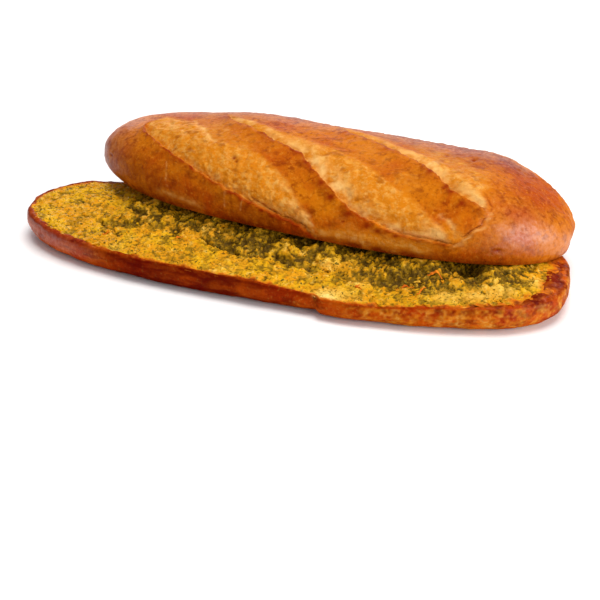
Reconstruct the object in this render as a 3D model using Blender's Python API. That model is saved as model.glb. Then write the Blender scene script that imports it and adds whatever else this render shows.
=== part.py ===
"""Garlic bread: a slashed loaf split along its length. The buttered bottom half lies flat, and
the top half lies on it, shifted back so that the herb spread shows along the front."""

import math
import random

import bmesh
import bpy
from mathutils import Matrix, Vector, noise
from mathutils.bvhtree import BVHTree

# Driving dimensions: metres and radians. X runs along the loaf, +Y is its back, +Z is up.
# Each half's plan is a superellipse that widens to the right, with corners of their own squareness.
BOTTOM = dict(length=0.3540, width=0.1192, taper=0.066, right=2.88, back_left=2.32, front_left=2.62)
TOP = dict(length=0.3186, width=0.1246, taper=0.075, right=2.51, back_left=2.47, front_left=2.47)
TOP_HEIGHT_LEFT = 0.0447
TOP_HEIGHT_RIGHT = 0.0495
TOP_SIDE_ROUND = 1.85  # exponent of the dome's section: 2 is an ellipse, more is boxier
TOP_LEFT_ROUND = 2.72
TOP_RIGHT_ROUND = 2.62
TOP_PLACE = Vector((0.0128, 0.0492, 0.0215))  # middle of the top half's cut face
TOP_LEAN = -0.050  # about X: the back edge sits lower
TOP_PITCH = 0.025  # about Y: the left end sits higher
TOP_TURN = -0.058
TOP_WAIST = dict(middle=0.0085, left=0.0025, right=-0.0055)  # widest place, over the cut edge
TOP_TUCK = dict(middle=0.0022, left=0.0090, right=-0.0030)  # how far the cut edge turns in below it
CROWN_WAVE = ((-0.150, 0.0), (-0.095, -0.0012), (-0.052, 0.0012), (0.030, -0.0012), (0.080, -0.0006),
              (0.110, 0.0026), (0.130, 0.0012), (0.148, -0.0014))  # x and rise along the ridge
TOP_GIRTH = 0.085  # from the ridge down over the side to the cut edge

RIM_HEIGHT = 0.0174  # cut edge of the bottom half
RIM_RISE = 0.0012  # the cut climbs this much from the middle to the back edge
BED_HEIGHT = 0.0112  # flat under the spread
RIM_DIP = dict(x=0.052, reach=0.042, depth=0.0030)  # lower stretch of the front cut edge
RIM_LEFT_RISE = 0.0018  # the cut edge climbs towards the left tip
CRUST_EDGE = 0.0028  # crust seen from above, round the spread
CRUST_EDGE_LEFT = 0.0068
CRUST_EDGE_RIGHT = 0.0140
FRONT_STEP = dict(x=0.037, run=0.007, out=0.0034, fade=0.110)  # crack in the front crust

GAP = 0.0004  # kept between touching pieces
SPREAD_SIDE_GAP = 0.0008  # round the spread, where both sides are faceted
SPREAD_LEVEL = 0.0004  # smooth front strip of the spread, over the cut edge
TORN_RISE = 0.0024  # torn crumb behind the strip, over the strip
TORN_ROUGH = 0.0022
TEAR_DEPTH = 0.0020  # groove between the strip and the torn crumb
TEAR_LINE = ((-0.150, -0.008), (-0.120, -0.016), (-0.080, -0.012), (-0.049, -0.018),
             (-0.020, -0.028), (0.040, -0.031), (0.083, -0.035), (0.150, -0.029))

# Lumps of torn crumb on the cut face: x, y, radius and height; the pits have a negative height.
LUMPS = (
    (-0.140, 0.012, 0.016, 0.0018), (-0.099, 0.004, 0.012, 0.0034), (-0.084, 0.022, 0.013, 0.0052),
    (-0.059, 0.022, 0.014, 0.0064), (-0.044, 0.004, 0.010, 0.0044), (-0.013, -0.004, 0.012, 0.0046),
    (0.008, -0.017, 0.009, 0.0030), (0.034, -0.012, 0.010, 0.0036), (0.060, 0.010, 0.016, 0.0030),
    (0.080, -0.017, 0.010, 0.0030), (0.098, -0.015, 0.009, 0.0028), (0.134, -0.008, 0.012, 0.0034),
    (-0.030, 0.046, 0.014, 0.0040), (0.026, 0.048, 0.014, 0.0036), (0.090, 0.046, 0.014, 0.0030),
    (0.117, -0.010, 0.009, -0.0056), (-0.072, -0.010, 0.008, -0.0026), (-0.030, -0.016, 0.008, -0.0030),
)

# Each slash opens between its ear (the lifted crust below it) and its back edge. The points are
# x and girth: 0 on the ridge, -1 on the front cut edge and +1 on the back one.
SLASHES = (
    dict(
        depth=0.0030,
        ear=((-0.1280, -0.13), (-0.1204, -0.36), (-0.0983, -0.53), (-0.0671, -0.70), (-0.0319, -0.85),
             (0.0040, -1.00), (0.0160, -1.10)),
        back=((-0.1280, -0.13), (-0.1184, 0.06), (-0.0959, -0.06), (-0.0758, -0.18), (-0.0662, -0.32),
              (-0.0320, -0.37), (-0.0094, -0.55), (0.0124, -0.85), (0.0160, -1.02)),
    ),
    dict(
        depth=0.0030,
        ear=((-0.0880, 0.25), (-0.0785, 0.13), (-0.0653, -0.07), (-0.0339, -0.22), (-0.0074, -0.33),
             (0.0116, -0.52), (0.0343, -0.74), (0.0655, -0.90), (0.0986, -0.95)),
        back=((-0.0880, 0.25), (-0.0604, 0.02), (-0.0297, -0.10), (0.0100, -0.17), (0.0285, -0.24),
              (0.0475, -0.36), (0.0734, -0.56), (0.0918, -0.77), (0.0986, -0.90)),
    ),
    dict(
        depth=0.0026,
        ear=((-0.0200, 0.30), (0.0049, 0.08), (0.0320, -0.05), (0.0634, -0.20), (0.0749, -0.27),
             (0.0905, -0.45), (0.1149, -0.60)),
        back=((-0.0200, 0.30), (0.0168, 0.14), (0.0525, -0.02), (0.0756, -0.09), (0.0956, -0.22),
              (0.1093, -0.36), (0.1149, -0.58)),
    ),
)
EAR_LIFT = 0.0012
EAR_REACH = 0.006  # how far in front of its edge the ear starts to lift
EAR_FALL = 0.006  # how far behind its edge the ear falls to the bottom of the slash
SLASH_OPEN = 0.012  # a slash narrower than this is shallower
SLASH_SWELL = 0.0012
CRUST_UNEVEN = 0.0010
CRUST_PATCH = 22.0  # patches of unevenness per metre

# Mesh fineness
RING_POINTS = 132
TOP_GRID = (80, 30)
SPREAD_GRID = (62, 24)

# Small things fused to the spread
FLAKES = 42
FLAKE_RADIUS = (0.0010, 0.0017)
FLAKE_THICK = 0.0011
SHREDS = ((0.086, -0.036, 0.5, 0.009), (0.101, -0.024, 0.1, 0.008), (0.096, -0.040, 1.0, 0.009))
SHRED_WIDTH = 0.0013
SEED = 7


def smooth_step(value):
    value = min(1.0, max(0.0, value))
    return value * value * (3 - 2 * value)


def signed_power(value, exponent):
    return math.copysign(abs(value) ** exponent, value)


def line_at(points, x, ease=lambda share: share):
    """The second coordinate of a line of points at x, held past its ends."""
    if x <= points[0][0]:
        return points[0][1]
    for (x0, y0), (x1, y1) in zip(points, points[1:]):
        if x < x1:
            return y0 + (y1 - y0) * ease((x - x0) / (x1 - x0))
    return points[-1][1]


def squareness(form, along, across):
    """The exponent of the superellipse in this quarter of the plan."""
    if along > 0:
        return form["right"]
    return form["back_left"] if across > 0 else form["front_left"]


def plan_point(form, angle, radius):
    """A point of a half's plan: radius is 0 in the middle and 1 on the outline."""
    square = squareness(form, math.cos(angle), math.sin(angle))
    along = radius * signed_power(math.cos(angle), 2 / square)
    across = radius * signed_power(math.sin(angle), 2 / square)
    return along * form["length"] / 2, across * (1 + form["taper"] * along) * form["width"] / 2


def plan_angle(form, x, y):
    """The angle for plan_point of a point on or near a half's outline."""
    along = 2 * x / form["length"]
    across = 2 * y / form["width"] / (1 + form["taper"] * along)
    square = squareness(form, along, across)
    return math.atan2(signed_power(across, square / 2), signed_power(along, square / 2))


def at_ends(values, angle):
    """A value that changes towards the left and right ends."""
    left = max(0.0, -math.cos(angle)) ** 5
    right = max(0.0, math.cos(angle)) ** 5
    return values["middle"] + values["left"] * left + values["right"] * right


def grid_point(u, v):
    """Turns the square from -1 to 1 into the unit disc, as an angle and a radius."""
    x = u * math.sqrt(1 - v * v / 2)
    y = v * math.sqrt(1 - u * u / 2)
    return math.atan2(y, x), min(1.0, math.hypot(x, y))


def front_step(x, y):
    """The front crust steps out to the right of its crack."""
    at = FRONT_STEP
    share = smooth_step((x - at["x"]) / at["run"]) * smooth_step(1 - (x - at["x"]) / at["fade"])
    return y - at["out"] * share * smooth_step(-y / (BOTTOM["width"] / 2))


def uneven(x, y, layer):
    return CRUST_UNEVEN * noise.noise(Vector((x * CRUST_PATCH, y * CRUST_PATCH, layer)))


# The bottom half


def crust_edge(angle):
    """The width of the crust's edge seen from above: widest at the right end and front left."""
    right = max(0.0, math.cos(angle)) ** 5
    front_left = max(0.0, -math.cos(angle - 0.6)) ** 4
    edge = CRUST_EDGE + (CRUST_EDGE_RIGHT - CRUST_EDGE) * right
    return edge + (CRUST_EDGE_LEFT - CRUST_EDGE) * front_left


def bottom_ring(angle, inset):
    """A point of the bottom half's outline, moved in by inset."""
    x, y = plan_point(BOTTOM, angle, 1.0)
    x *= 1 - inset / (BOTTOM["length"] / 2)
    y *= 1 - inset / (BOTTOM["width"] / 2)
    return x, front_step(x, y)


def rim_height(x, y):
    across = y / (BOTTOM["width"] / 2)
    dip = RIM_DIP["depth"] * math.exp(-(((x - RIM_DIP["x"]) / RIM_DIP["reach"]) ** 4))
    height = RIM_HEIGHT + RIM_RISE * across - dip * smooth_step(-1.4 * across)
    height += RIM_LEFT_RISE * smooth_step((-x - 0.115) / 0.045) + 0.4 * uneven(x, y, 3.0)
    return min(height, top_underside(x, y) - GAP)


def bottom_rows(angle):
    """The crust's section at this angle as insets and heights, from the foot over the cut edge to the bed."""
    edge = crust_edge(angle)
    rim = rim_height(*bottom_ring(angle, edge))
    return (
        (0.0105, 0.0),
        (0.0048, 0.0012),
        (0.0016, 0.0042),
        (0.0, 0.50 * rim),
        (0.0005, 0.74 * rim),
        (0.0014, rim - 0.0012),
        (0.75 * CRUST_EDGE + 0.30 * (edge - CRUST_EDGE), rim),
        (edge, rim - 0.0006),
        (edge + 0.0020, BED_HEIGHT),
    )


def make_bottom():
    """A tube of rings, capped at both ends, whose vertices are then moved to the crust's section."""
    levels = len(bottom_rows(0.0))
    mesh = bmesh.new()
    bmesh.ops.create_cone(mesh, cap_ends=True, segments=RING_POINTS, radius1=1, radius2=1, depth=levels - 1)
    upright = [edge for edge in mesh.edges if abs(edge.verts[0].co.z - edge.verts[1].co.z) > 0.5]
    bmesh.ops.subdivide_edges(mesh, edges=upright, cuts=levels - 2, use_grid_fill=True)
    for vertex in mesh.verts:
        angle = math.atan2(vertex.co.y, vertex.co.x)
        level = round(vertex.co.z + (levels - 1) / 2)
        inset, height = bottom_rows(angle)[level]
        vertex.co = (*bottom_ring(angle, inset), height)
    return mesh


# The herb butter and torn crumb on the bottom half


def top_underside(x, y):
    """The height of the top half's cut face over a point of the base plane."""
    place = top_matrix()
    normal = place.to_3x3() @ Vector((0, 0, 1))
    middle = place.translation
    return middle.z - (normal.x * (x - middle.x) + normal.y * (y - middle.y)) / normal.z


def lump_height(x, y):
    total = 0.0
    for lump_x, lump_y, radius, height in LUMPS:
        away = math.hypot(x - lump_x, y - lump_y) / radius
        total += height * (1 - smooth_step(away / 1.5))
    return total


def spread_height(x, y, inside):
    """The spread's upper face: a smooth strip in front, torn crumb behind it, never into the top half."""
    beyond = y - line_at(TEAR_LINE, x)
    torn = smooth_step(beyond / 0.010) * smooth_step((x + 0.150) / 0.030) * smooth_step((0.160 - x) / 0.020)
    rough = noise.noise(Vector((x * 95, y * 95, 5.0))) + 0.5 * noise.noise(Vector((x * 190, y * 190, 9.0)))
    groove = math.exp(-((beyond / 0.0035) ** 2)) * smooth_step((x + 0.135) / 0.020)
    height = SPREAD_LEVEL + torn * TORN_RISE + (0.35 + 0.65 * torn) * TORN_ROUGH * rough
    height += lump_height(x, y) - TEAR_DEPTH * groove
    height = rim_height(x, y) + inside * height
    return min(height, top_underside(x, y) - GAP)


def make_spread():
    mesh = bmesh.new()
    bmesh.ops.create_grid(mesh, x_segments=SPREAD_GRID[0], y_segments=SPREAD_GRID[1], size=1)
    angles = {}
    for vertex in mesh.verts:
        angle, radius = grid_point(vertex.co.x, vertex.co.y)
        x, y = plan_point(BOTTOM, angle, radius)
        edge = crust_edge(angle) + SPREAD_SIDE_GAP
        x *= 1 - edge / (BOTTOM["length"] / 2)
        y = front_step(x, y * (1 - edge / (BOTTOM["width"] / 2)))
        inside = smooth_step((1 - radius) / 0.10)
        vertex.co = (x, y, spread_height(x, y, inside) - (1 - inside) * GAP)
        angles[vertex.co.copy().freeze()] = angle
    border = [edge for edge in mesh.edges if edge.is_boundary]
    grown = bmesh.ops.extrude_edge_only(mesh, edges=border)["geom"]
    for vertex in [item for item in grown if isinstance(item, bmesh.types.BMVert)]:
        angle = angles[vertex.co.copy().freeze()]
        x, y = bottom_ring(angle, crust_edge(angle) + 0.0020 + SPREAD_SIDE_GAP)
        vertex.co = (x, y, BED_HEIGHT + GAP)
    bmesh.ops.holes_fill(mesh, edges=mesh.edges, sides=0)
    return mesh


def add_chip(collection, name, place, radius, thickness, sides, stretch=1.0):
    """A small flat chip, standing half out of the spread."""
    mesh = bmesh.new()
    bmesh.ops.create_cone(mesh, cap_ends=True, segments=sides, radius1=radius, radius2=0.75 * radius,
                          depth=thickness)
    bmesh.ops.scale(mesh, vec=(stretch, 1, 1), verts=mesh.verts)
    bmesh.ops.transform(mesh, matrix=place, verts=mesh.verts)
    return new_object(name, mesh, collection)


def chip_place(tree, x, y, turn, tilt, lift):
    """The place of a chip on the faceted spread below x, y."""
    point = tree.ray_cast(Vector((x, y, 1)), Vector((0, 0, -1)))[0]
    lifted = Matrix.Translation(point + Vector((0, 0, lift)))
    return lifted @ Matrix.Rotation(turn, 4, "Z") @ Matrix.Rotation(tilt, 4, "X")


def add_chips(spread_mesh, collection):
    """Herb flakes spread evenly over the open part of the cut face, and a few browned shreds."""
    tree = BVHTree.FromBMesh(spread_mesh)
    draw = random.Random(SEED)
    taken = [Vector((x, y)) for x, y, _, _ in SHREDS]
    while len(taken) < FLAKES + len(SHREDS):
        angle = draw.uniform(-math.pi, math.pi)
        x, y = plan_point(BOTTOM, angle, 0.84 * math.sqrt(draw.random()))
        spot = Vector((x, y))
        covered = y > -0.018 and x > -0.138
        if covered or min((spot - other).length for other in taken) < 0.008:
            continue
        taken.append(spot)
        radius = draw.uniform(*FLAKE_RADIUS)
        place = chip_place(tree, x, y, draw.uniform(0, math.pi), draw.uniform(-0.3, 0.3), 0.0002)
        add_chip(collection, f"flake_{len(taken)}", place, radius, FLAKE_THICK, 5, stretch=1.3)
    for x, y, turn, length in SHREDS:
        place = chip_place(tree, x, y, turn, 0.0, 0.0002)
        add_chip(collection, f"shred_{x}", place, SHRED_WIDTH / 2, FLAKE_THICK, 6, stretch=length / SHRED_WIDTH)


def fuse(piece, collection):
    """Joins a collection's objects to a piece as one solid, and removes them."""
    union = piece.modifiers.new("fuse_chips", "BOOLEAN")
    union.operation = "UNION"
    union.operand_type = "COLLECTION"
    union.collection = collection
    union.solver = "EXACT"
    bpy.context.view_layer.objects.active = piece
    bpy.ops.object.modifier_apply(modifier=union.name)
    for chip in list(collection.objects):
        bpy.data.objects.remove(chip, do_unlink=True)
    bpy.data.collections.remove(collection)


# The top half


def top_matrix():
    lean = Matrix.Rotation(TOP_LEAN, 4, "X")
    pitch = Matrix.Rotation(TOP_PITCH, 4, "Y")
    turn = Matrix.Rotation(TOP_TURN, 4, "Z")
    return Matrix.Translation(TOP_PLACE) @ turn @ pitch @ lean


def dome_height(angle, radius, x):
    """The dome over the cut face: its ends are rounded by exponents of their own."""
    end_share = math.cos(angle) ** 2
    end = TOP_RIGHT_ROUND if math.cos(angle) > 0 else TOP_LEFT_ROUND
    power = TOP_SIDE_ROUND * (1 - end_share) + end * end_share
    middle = (TOP_HEIGHT_LEFT + TOP_HEIGHT_RIGHT) / 2
    crown = middle + (TOP_HEIGHT_RIGHT - TOP_HEIGHT_LEFT) * x / TOP["length"]
    crown += line_at(CROWN_WAVE, x, smooth_step)
    waist = at_ends(TOP_WAIST, angle)
    return waist + (crown - waist) * max(0.0, 1 - radius**power) ** (1 / power)


def girth_of(x, y):
    """How far round the dome a point lies: 0 on the ridge, -1 and 1 on the cut edges."""
    along = x / (TOP["length"] / 2)
    square = squareness(TOP, along, y)
    reach = max(1e-6, 1 - abs(along) ** square) ** (1 / square)
    half = TOP["width"] / 2 * (1 + TOP["taper"] * along) * reach
    return math.copysign(math.asin(min(1.0, abs(y) / half)) * 2 / math.pi, y)


def slash_relief(x, girth):
    """The crust lifts at each slash's ear, drops behind it and comes back at the far edge."""
    relief = 0.0
    for slash in SLASHES:
        first, last = slash["ear"][0][0], slash["ear"][-1][0]
        if not first < x < last:
            continue
        low = line_at(slash["ear"], x)
        width = max(0.001, (line_at(slash["back"], x) - low) * TOP_GIRTH)
        behind = (girth - low) * TOP_GIRTH
        fade = smooth_step(width / SLASH_OPEN)
        if behind < 0:
            relief += EAR_LIFT * fade * math.exp(-((behind / EAR_REACH) ** 2))
        elif behind < width:
            share = behind / width
            fall = smooth_step(behind / EAR_FALL)
            relief += EAR_LIFT * fade * (1 - fall)
            relief -= slash["depth"] * fade * fall * (1 - share) ** 1.3
            relief += SLASH_SWELL * fade * math.sin(math.pi * share)
    return relief


def tuck_in(mesh, share):
    """Grows the open edge down from the waist by this share of the way to the cut edge."""
    border = [edge for edge in mesh.edges if edge.is_boundary]
    grown = bmesh.ops.extrude_edge_only(mesh, edges=border)["geom"]
    for vertex in [item for item in grown if isinstance(item, bmesh.types.BMVert)]:
        angle = plan_angle(TOP, vertex.co.x, vertex.co.y)
        x, y = plan_point(TOP, angle, 1.0)
        inset = at_ends(TOP_TUCK, angle) * share**2
        x *= 1 - inset / (TOP["length"] / 2)
        y *= 1 - inset / (TOP["width"] / 2)
        vertex.co = (x, y, at_ends(TOP_WAIST, angle) * (1 - share))


def make_top():
    mesh = bmesh.new()
    bmesh.ops.create_grid(mesh, x_segments=TOP_GRID[0], y_segments=TOP_GRID[1], size=1)
    relief = {}
    for vertex in mesh.verts:
        even = vertex.co.x
        column = 0.35 * even + 0.65 * math.asin(even) * 2 / math.pi
        angle, ring = grid_point(column, vertex.co.y)
        radius = 1.0 if vertex.is_boundary else math.sin(ring * math.pi / 2)
        x, y = plan_point(TOP, angle, radius)
        vertex.co = (x, y, dome_height(angle, radius, x))
        if not vertex.is_boundary:
            relief[vertex] = slash_relief(x, girth_of(x, y)) + uneven(x, y, 0.0)
    mesh.normal_update()
    for vertex, lift in relief.items():
        vertex.co += vertex.normal * lift
    for share in (0.55, 1.0):
        tuck_in(mesh, share)
    bmesh.ops.holes_fill(mesh, edges=mesh.edges, sides=0)
    bmesh.ops.transform(mesh, matrix=top_matrix(), verts=mesh.verts)
    return mesh


# Objects and materials


def new_object(name, mesh, collection):
    bmesh.ops.recalc_face_normals(mesh, faces=mesh.faces)
    data = bpy.data.meshes.new(name)
    mesh.to_mesh(data)
    mesh.free()
    piece = bpy.data.objects.new(name, data)
    collection.objects.link(piece)
    return piece


def new_material(name, colour, roughness):
    material = bpy.data.materials.new(name)
    material.use_nodes = True
    shader = material.node_tree.nodes["Principled BSDF"]
    shader.inputs["Base Color"].default_value = (*colour, 1)
    shader.inputs["Roughness"].default_value = roughness
    shader.inputs["Metallic"].default_value = 0
    return material


def stand_at_origin(pieces):
    """Moves the pieces so that the whole stands on z = 0, centred on the origin."""
    corners = [vertex.co for piece in pieces for vertex in piece.data.vertices]
    low = [min(corner[axis] for corner in corners) for axis in range(3)]
    high = [max(corner[axis] for corner in corners) for axis in range(3)]
    for piece in pieces:
        piece.location = (-(low[0] + high[0]) / 2, -(low[1] + high[1]) / 2, -low[2])


def main():
    for old in list(bpy.data.objects):
        bpy.data.objects.remove(old, do_unlink=True)
    parts = bpy.data.collections.new("garlic_bread")
    chips = bpy.data.collections.new("chips")
    bpy.context.scene.collection.children.link(parts)
    bpy.context.scene.collection.children.link(chips)

    spread_mesh = make_spread()
    add_chips(spread_mesh, chips)
    spread = new_object("herb_spread", spread_mesh, parts)
    fuse(spread, chips)
    bottom = new_object("bottom_half", make_bottom(), parts)
    top = new_object("top_half", make_top(), parts)

    bottom.data.materials.append(new_material("bottom_crust", (0.42, 0.12, 0.02), 0.45))
    top.data.materials.append(new_material("top_crust", (0.55, 0.21, 0.03), 0.38))
    spread.data.materials.clear()
    spread.data.materials.append(new_material("herb_butter", (0.62, 0.38, 0.04), 0.5))
    for piece in (bottom, top, spread):
        piece.data.shade_smooth()
        piece.data.set_sharp_from_angle(angle=math.radians(50))
    stand_at_origin((bottom, top, spread))


main()
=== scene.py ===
import math
import random

import bmesh
import bpy
from mathutils import Matrix, Vector, noise
from mathutils.bvhtree import BVHTree


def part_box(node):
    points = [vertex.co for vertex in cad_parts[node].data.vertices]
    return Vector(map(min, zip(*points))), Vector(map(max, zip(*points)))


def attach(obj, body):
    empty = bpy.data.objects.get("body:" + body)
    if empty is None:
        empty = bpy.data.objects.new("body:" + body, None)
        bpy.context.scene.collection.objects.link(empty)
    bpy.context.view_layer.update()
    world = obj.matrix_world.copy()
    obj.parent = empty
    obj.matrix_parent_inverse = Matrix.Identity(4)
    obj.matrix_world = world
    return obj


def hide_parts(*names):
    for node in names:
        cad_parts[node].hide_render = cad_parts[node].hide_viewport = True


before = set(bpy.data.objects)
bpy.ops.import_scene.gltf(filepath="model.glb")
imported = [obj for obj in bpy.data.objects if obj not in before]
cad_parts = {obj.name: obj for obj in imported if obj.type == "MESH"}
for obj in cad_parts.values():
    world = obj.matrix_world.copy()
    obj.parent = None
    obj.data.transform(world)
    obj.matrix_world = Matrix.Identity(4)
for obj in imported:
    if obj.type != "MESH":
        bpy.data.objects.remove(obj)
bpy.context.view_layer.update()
noise.seed_set(5)  # so that every run gives the same bread

# Garlic bread: the slashed top half lies set back on the buttered bottom half.
# Lengths are metres. X runs along the loaf, +Y is its back and +Z is up.

# the middle of the bottom half's plan, on the surface that it lies on
frontToMiddle = 0.0635
bottomLow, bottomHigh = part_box("bottom_half")
loafMiddle = Vector(((bottomLow.x + bottomHigh.x) / 2, bottomLow.y + frontToMiddle, 0.0))


# ---- small maths shared by the pieces


def smoothStep(value):
    # 0 below 0 and 1 above 1, with an eased rise between them
    value = min(1.0, max(0.0, value))
    return value * value * (3 - 2 * value)


def bell(distance, width):
    # 1 at no distance, fading out within about twice the width
    return math.exp(-((distance / width) ** 2))


def signedPower(value, exponent):
    return math.copysign(abs(value) ** exponent, value)


def lineAt(points, x, ease=lambda share: share):
    # second coordinate of a line of points at x, held past its ends
    if x <= points[0][0]:
        return points[0][1]
    for (x0, y0), (x1, y1) in zip(points, points[1:]):
        if x < x1:
            return y0 + (y1 - y0) * ease((x - x0) / (x1 - x0))
    return points[-1][1]


def lineDistance(points, x, y):
    # distance from a point to a line of points
    best = math.inf
    for (x0, y0), (x1, y1) in zip(points, points[1:]):
        alongX, alongY = x1 - x0, y1 - y0
        share = ((x - x0) * alongX + (y - y0) * alongY) / (alongX * alongX + alongY * alongY)
        share = min(1.0, max(0.0, share))
        best = min(best, math.hypot(x - x0 - share * alongX, y - y0 - share * alongY))
    return best


def grain(point, size, layer=0.0):
    # smooth noise from -1 to 1 with lumps of this size; each use has a layer of its own
    return noise.noise(point / size + Vector((layer, 0.7 * layer, 1.3 * layer)))


def cellLumps(point, size, layer=0.0):
    # rounded lumps of this size: 1 in a lump's middle and 0 in the creases between them
    distances = noise.voronoi(point / size + Vector((layer, layer, layer)))[0]
    return min(1.0, distances[1] - distances[0])


def bubbles(point, size, layer=0.0):
    # round swellings of this size: 1 on top of one and falling to the creases between them
    bent = point / size + 0.35 * noise.noise_vector(1.7 * point / size + Vector((layer, 0.0, 0.0)))
    return 1.0 - min(1.0, noise.voronoi(bent + Vector((layer, layer, layer)))[0][0])


# ---- the plan of a half: a rounded oblong that widens to the right


def squareness(half, along, across):
    if along > 0:
        return half["right"]
    return half["backLeft"] if across > 0 else half["frontLeft"]


def planPoint(half, angle, radius):
    # a point of a half's plan: radius is 0 in the middle and 1 on the outline
    square = squareness(half, math.cos(angle), math.sin(angle))
    along = radius * signedPower(math.cos(angle), 2 / square)
    across = radius * signedPower(math.sin(angle), 2 / square)
    return along * half["length"] / 2, across * (1 + half["taper"] * along) * half["width"] / 2


def insetPoint(half, angle, radius, inset):
    # the same for a plan whose outline is moved in by the inset
    x, y = planPoint(half, angle, radius)
    return x * (1 - inset / (half["length"] / 2)), y * (1 - inset / (half["width"] / 2))


def planShares(half, x, y):
    # how far along and across a half a point lies, from -1 to 1, and how square its outline is there
    along = 2 * x / half["length"]
    across = 2 * y / half["width"] / (1 + half["taper"] * along)
    return along, across, squareness(half, along, across)


def planAngle(half, x, y):
    along, across, square = planShares(half, x, y)
    return math.atan2(signedPower(across, square / 2), signedPower(along, square / 2))


def evenAngle(half, angle):
    # the plan angle that lies in this direction, so that rows and columns stay even near the tips
    square = squareness(half, math.cos(angle), math.sin(angle))
    return math.atan2(signedPower(math.sin(angle), square / 2), signedPower(math.cos(angle), square / 2))


def outlineSpan(half, angle, step=0.01):
    # metres of plan that one unit of radius covers, square to the outline
    x, y = planPoint(half, angle, 1.0)
    before, after = (Vector(planPoint(half, angle + turn, 1.0)) for turn in (-step, step))
    run = (after - before).normalized()
    return abs(x * run.y - y * run.x)


def squareToDisc(u, v):
    # the square from -1 to 1 as the unit disc: an angle and a radius
    x = u * math.sqrt(1 - v * v / 2)
    y = v * math.sqrt(1 - u * u / 2)
    return math.atan2(y, x), min(1.0, math.hypot(x, y))


# ---- steps that every piece goes through

# shares kept at each point of a piece, which its material blends its tones by
crustMasks = ("opened", "searedAndShade", "pale", "bakedAndShade", "glossy")
crumbMasks = ("toasted", "crumbShade", "creamyAndLit")


def addMasks(mesh, names):
    return {name: mesh.verts.layers.float.get(name) or mesh.verts.layers.float.new(name) for name in names}


def growBorder(mesh):
    # a new row of points along the open edge, still to be moved into place
    border = [edge for edge in mesh.edges if edge.is_boundary]
    grown = bmesh.ops.extrude_edge_only(mesh, edges=border)["geom"]
    return [item for item in grown if isinstance(item, bmesh.types.BMVert)]


def finishPiece(name, mesh, material, replaced, sharpAngle=60):
    # makes the object, in the frame's place, and hides the part that it stands for
    bmesh.ops.recalc_face_normals(mesh, faces=mesh.faces)
    data = bpy.data.meshes.new(name)
    mesh.to_mesh(data)
    mesh.free()
    data.shade_smooth()
    data.set_sharp_from_angle(angle=math.radians(sharpAngle))
    data.materials.append(material)
    piece = bpy.data.objects.new(name, data)
    bpy.context.scene.collection.objects.link(piece)
    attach(piece, "root")
    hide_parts(replaced)
    print(name, len(data.vertices), "points", len(data.polygons), "faces")


# ---- materials


def addNode(tree, kind, inputs=None, **settings):
    node = tree.nodes.new(kind)
    for key, value in settings.items():
        setattr(node, key, value)
    for key, value in (inputs or {}).items():
        if isinstance(value, bpy.types.NodeSocket):
            tree.links.new(value, node.inputs[key])
        else:
            node.inputs[key].default_value = value
    return node


def objectPlace(tree):
    return addNode(tree, "ShaderNodeTexCoord").outputs["Object"]


def attributeShare(tree, name):
    return addNode(tree, "ShaderNodeAttribute", attribute_name=name).outputs["Fac"]


def spots(tree, place, size, detail=3.0, rough=0.55, warp=0.0):
    # noise from 0 to 1 with spots of this size in metres
    values = {"Vector": place, "Scale": 1 / size, "Detail": detail, "Roughness": rough, "Distortion": warp}
    return addNode(tree, "ShaderNodeTexNoise", values).outputs["Fac"]


def between(tree, value, low, high):
    # 0 below low and 1 above high
    values = {"Value": value, "From Min": low, "From Max": high}
    return addNode(tree, "ShaderNodeMapRange", values, interpolation_type="SMOOTHSTEP").outputs["Result"]


def maths(tree, how, first, second, third=0.0):
    return addNode(tree, "ShaderNodeMath", {0: first, 1: second, 2: third}, operation=how).outputs[0]


def times(tree, first, second):
    return maths(tree, "MULTIPLY", first, second)


def partly(tree, value, low, high, most):
    # 0 below low and this much above high
    return times(tree, between(tree, value, low, high), most)


def blendColour(tree, share, first, second):
    node = addNode(tree, "ShaderNodeMix", data_type="RGBA", blend_type="MIX")
    for index, value in ((0, share), (6, first), (7, second)):
        if isinstance(value, bpy.types.NodeSocket):
            tree.links.new(value, node.inputs[index])
        else:
            node.inputs[index].default_value = (*value, 1) if isinstance(value, tuple) else value
    return node.outputs[2]


def newMaterial(name, values):
    material = bpy.data.materials.new(name)
    material.use_nodes = True
    shader = material.node_tree.nodes["Principled BSDF"]
    for key, value in values.items():
        shader.inputs[key].default_value = value
    return material, material.node_tree, shader


def addBump(tree, shader, height, depth, strength=0.7):
    values = {"Height": height, "Distance": depth, "Strength": strength}
    tree.links.new(addNode(tree, "ShaderNodeBump", values).outputs["Normal"], shader.inputs["Normal"])


crustLook = dict(
    gold=(0.56, 0.158, 0.003),  # closed crust, from its palest tone
    brown=(0.42, 0.066, 0.0015),
    deep=(0.19, 0.022, 0.001),  # to its darkest, which also paints the shade
    open=(0.58, 0.180, 0.006),  # inside the slashes
    openLight=(0.66, 0.280, 0.036),
    fleck=(0.74, 0.410, 0.100),
    cream=(0.84, 0.50, 0.160),  # where the crust is thinnest
    searedAndShade=(0.21, 0.013, 0.001),  # scorched lips and spots, and painted shade in the dark creases and pits
    flecks=0.16,  # share of light flecks all over
    thin=0.40,  # how much of the baked colour is missing in the streaks
    streaks=(0.7, 0.7, 0.7),  # a small value draws the streaks out that way
    gloss=0.78,
    specular=0.05,
    relief=0.0012,
)
# the bottom half's crust is redder and streaked along, and darker, partly as painted shade
darkLook = dict(
    crustLook,
    gold=(0.56, 0.098, 0.002),
    brown=(0.40, 0.036, 0.001),
    deep=(0.095, 0.002, 0.0003),
    flecks=0.012,
    thin=0.22,
    streaks=(0.25, 0.25, 1.0),
    gloss=0.7,
    specular=0.0,
    relief=0.0007,
)
# sizes of the crust's spots of colour
crustSpots = dict(
    patches=0.030, mottle=0.0042, speck=0.0013, fibre=0.0028, blister=0.0062, peel=0.0021, streak=0.0040,
)


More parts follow.
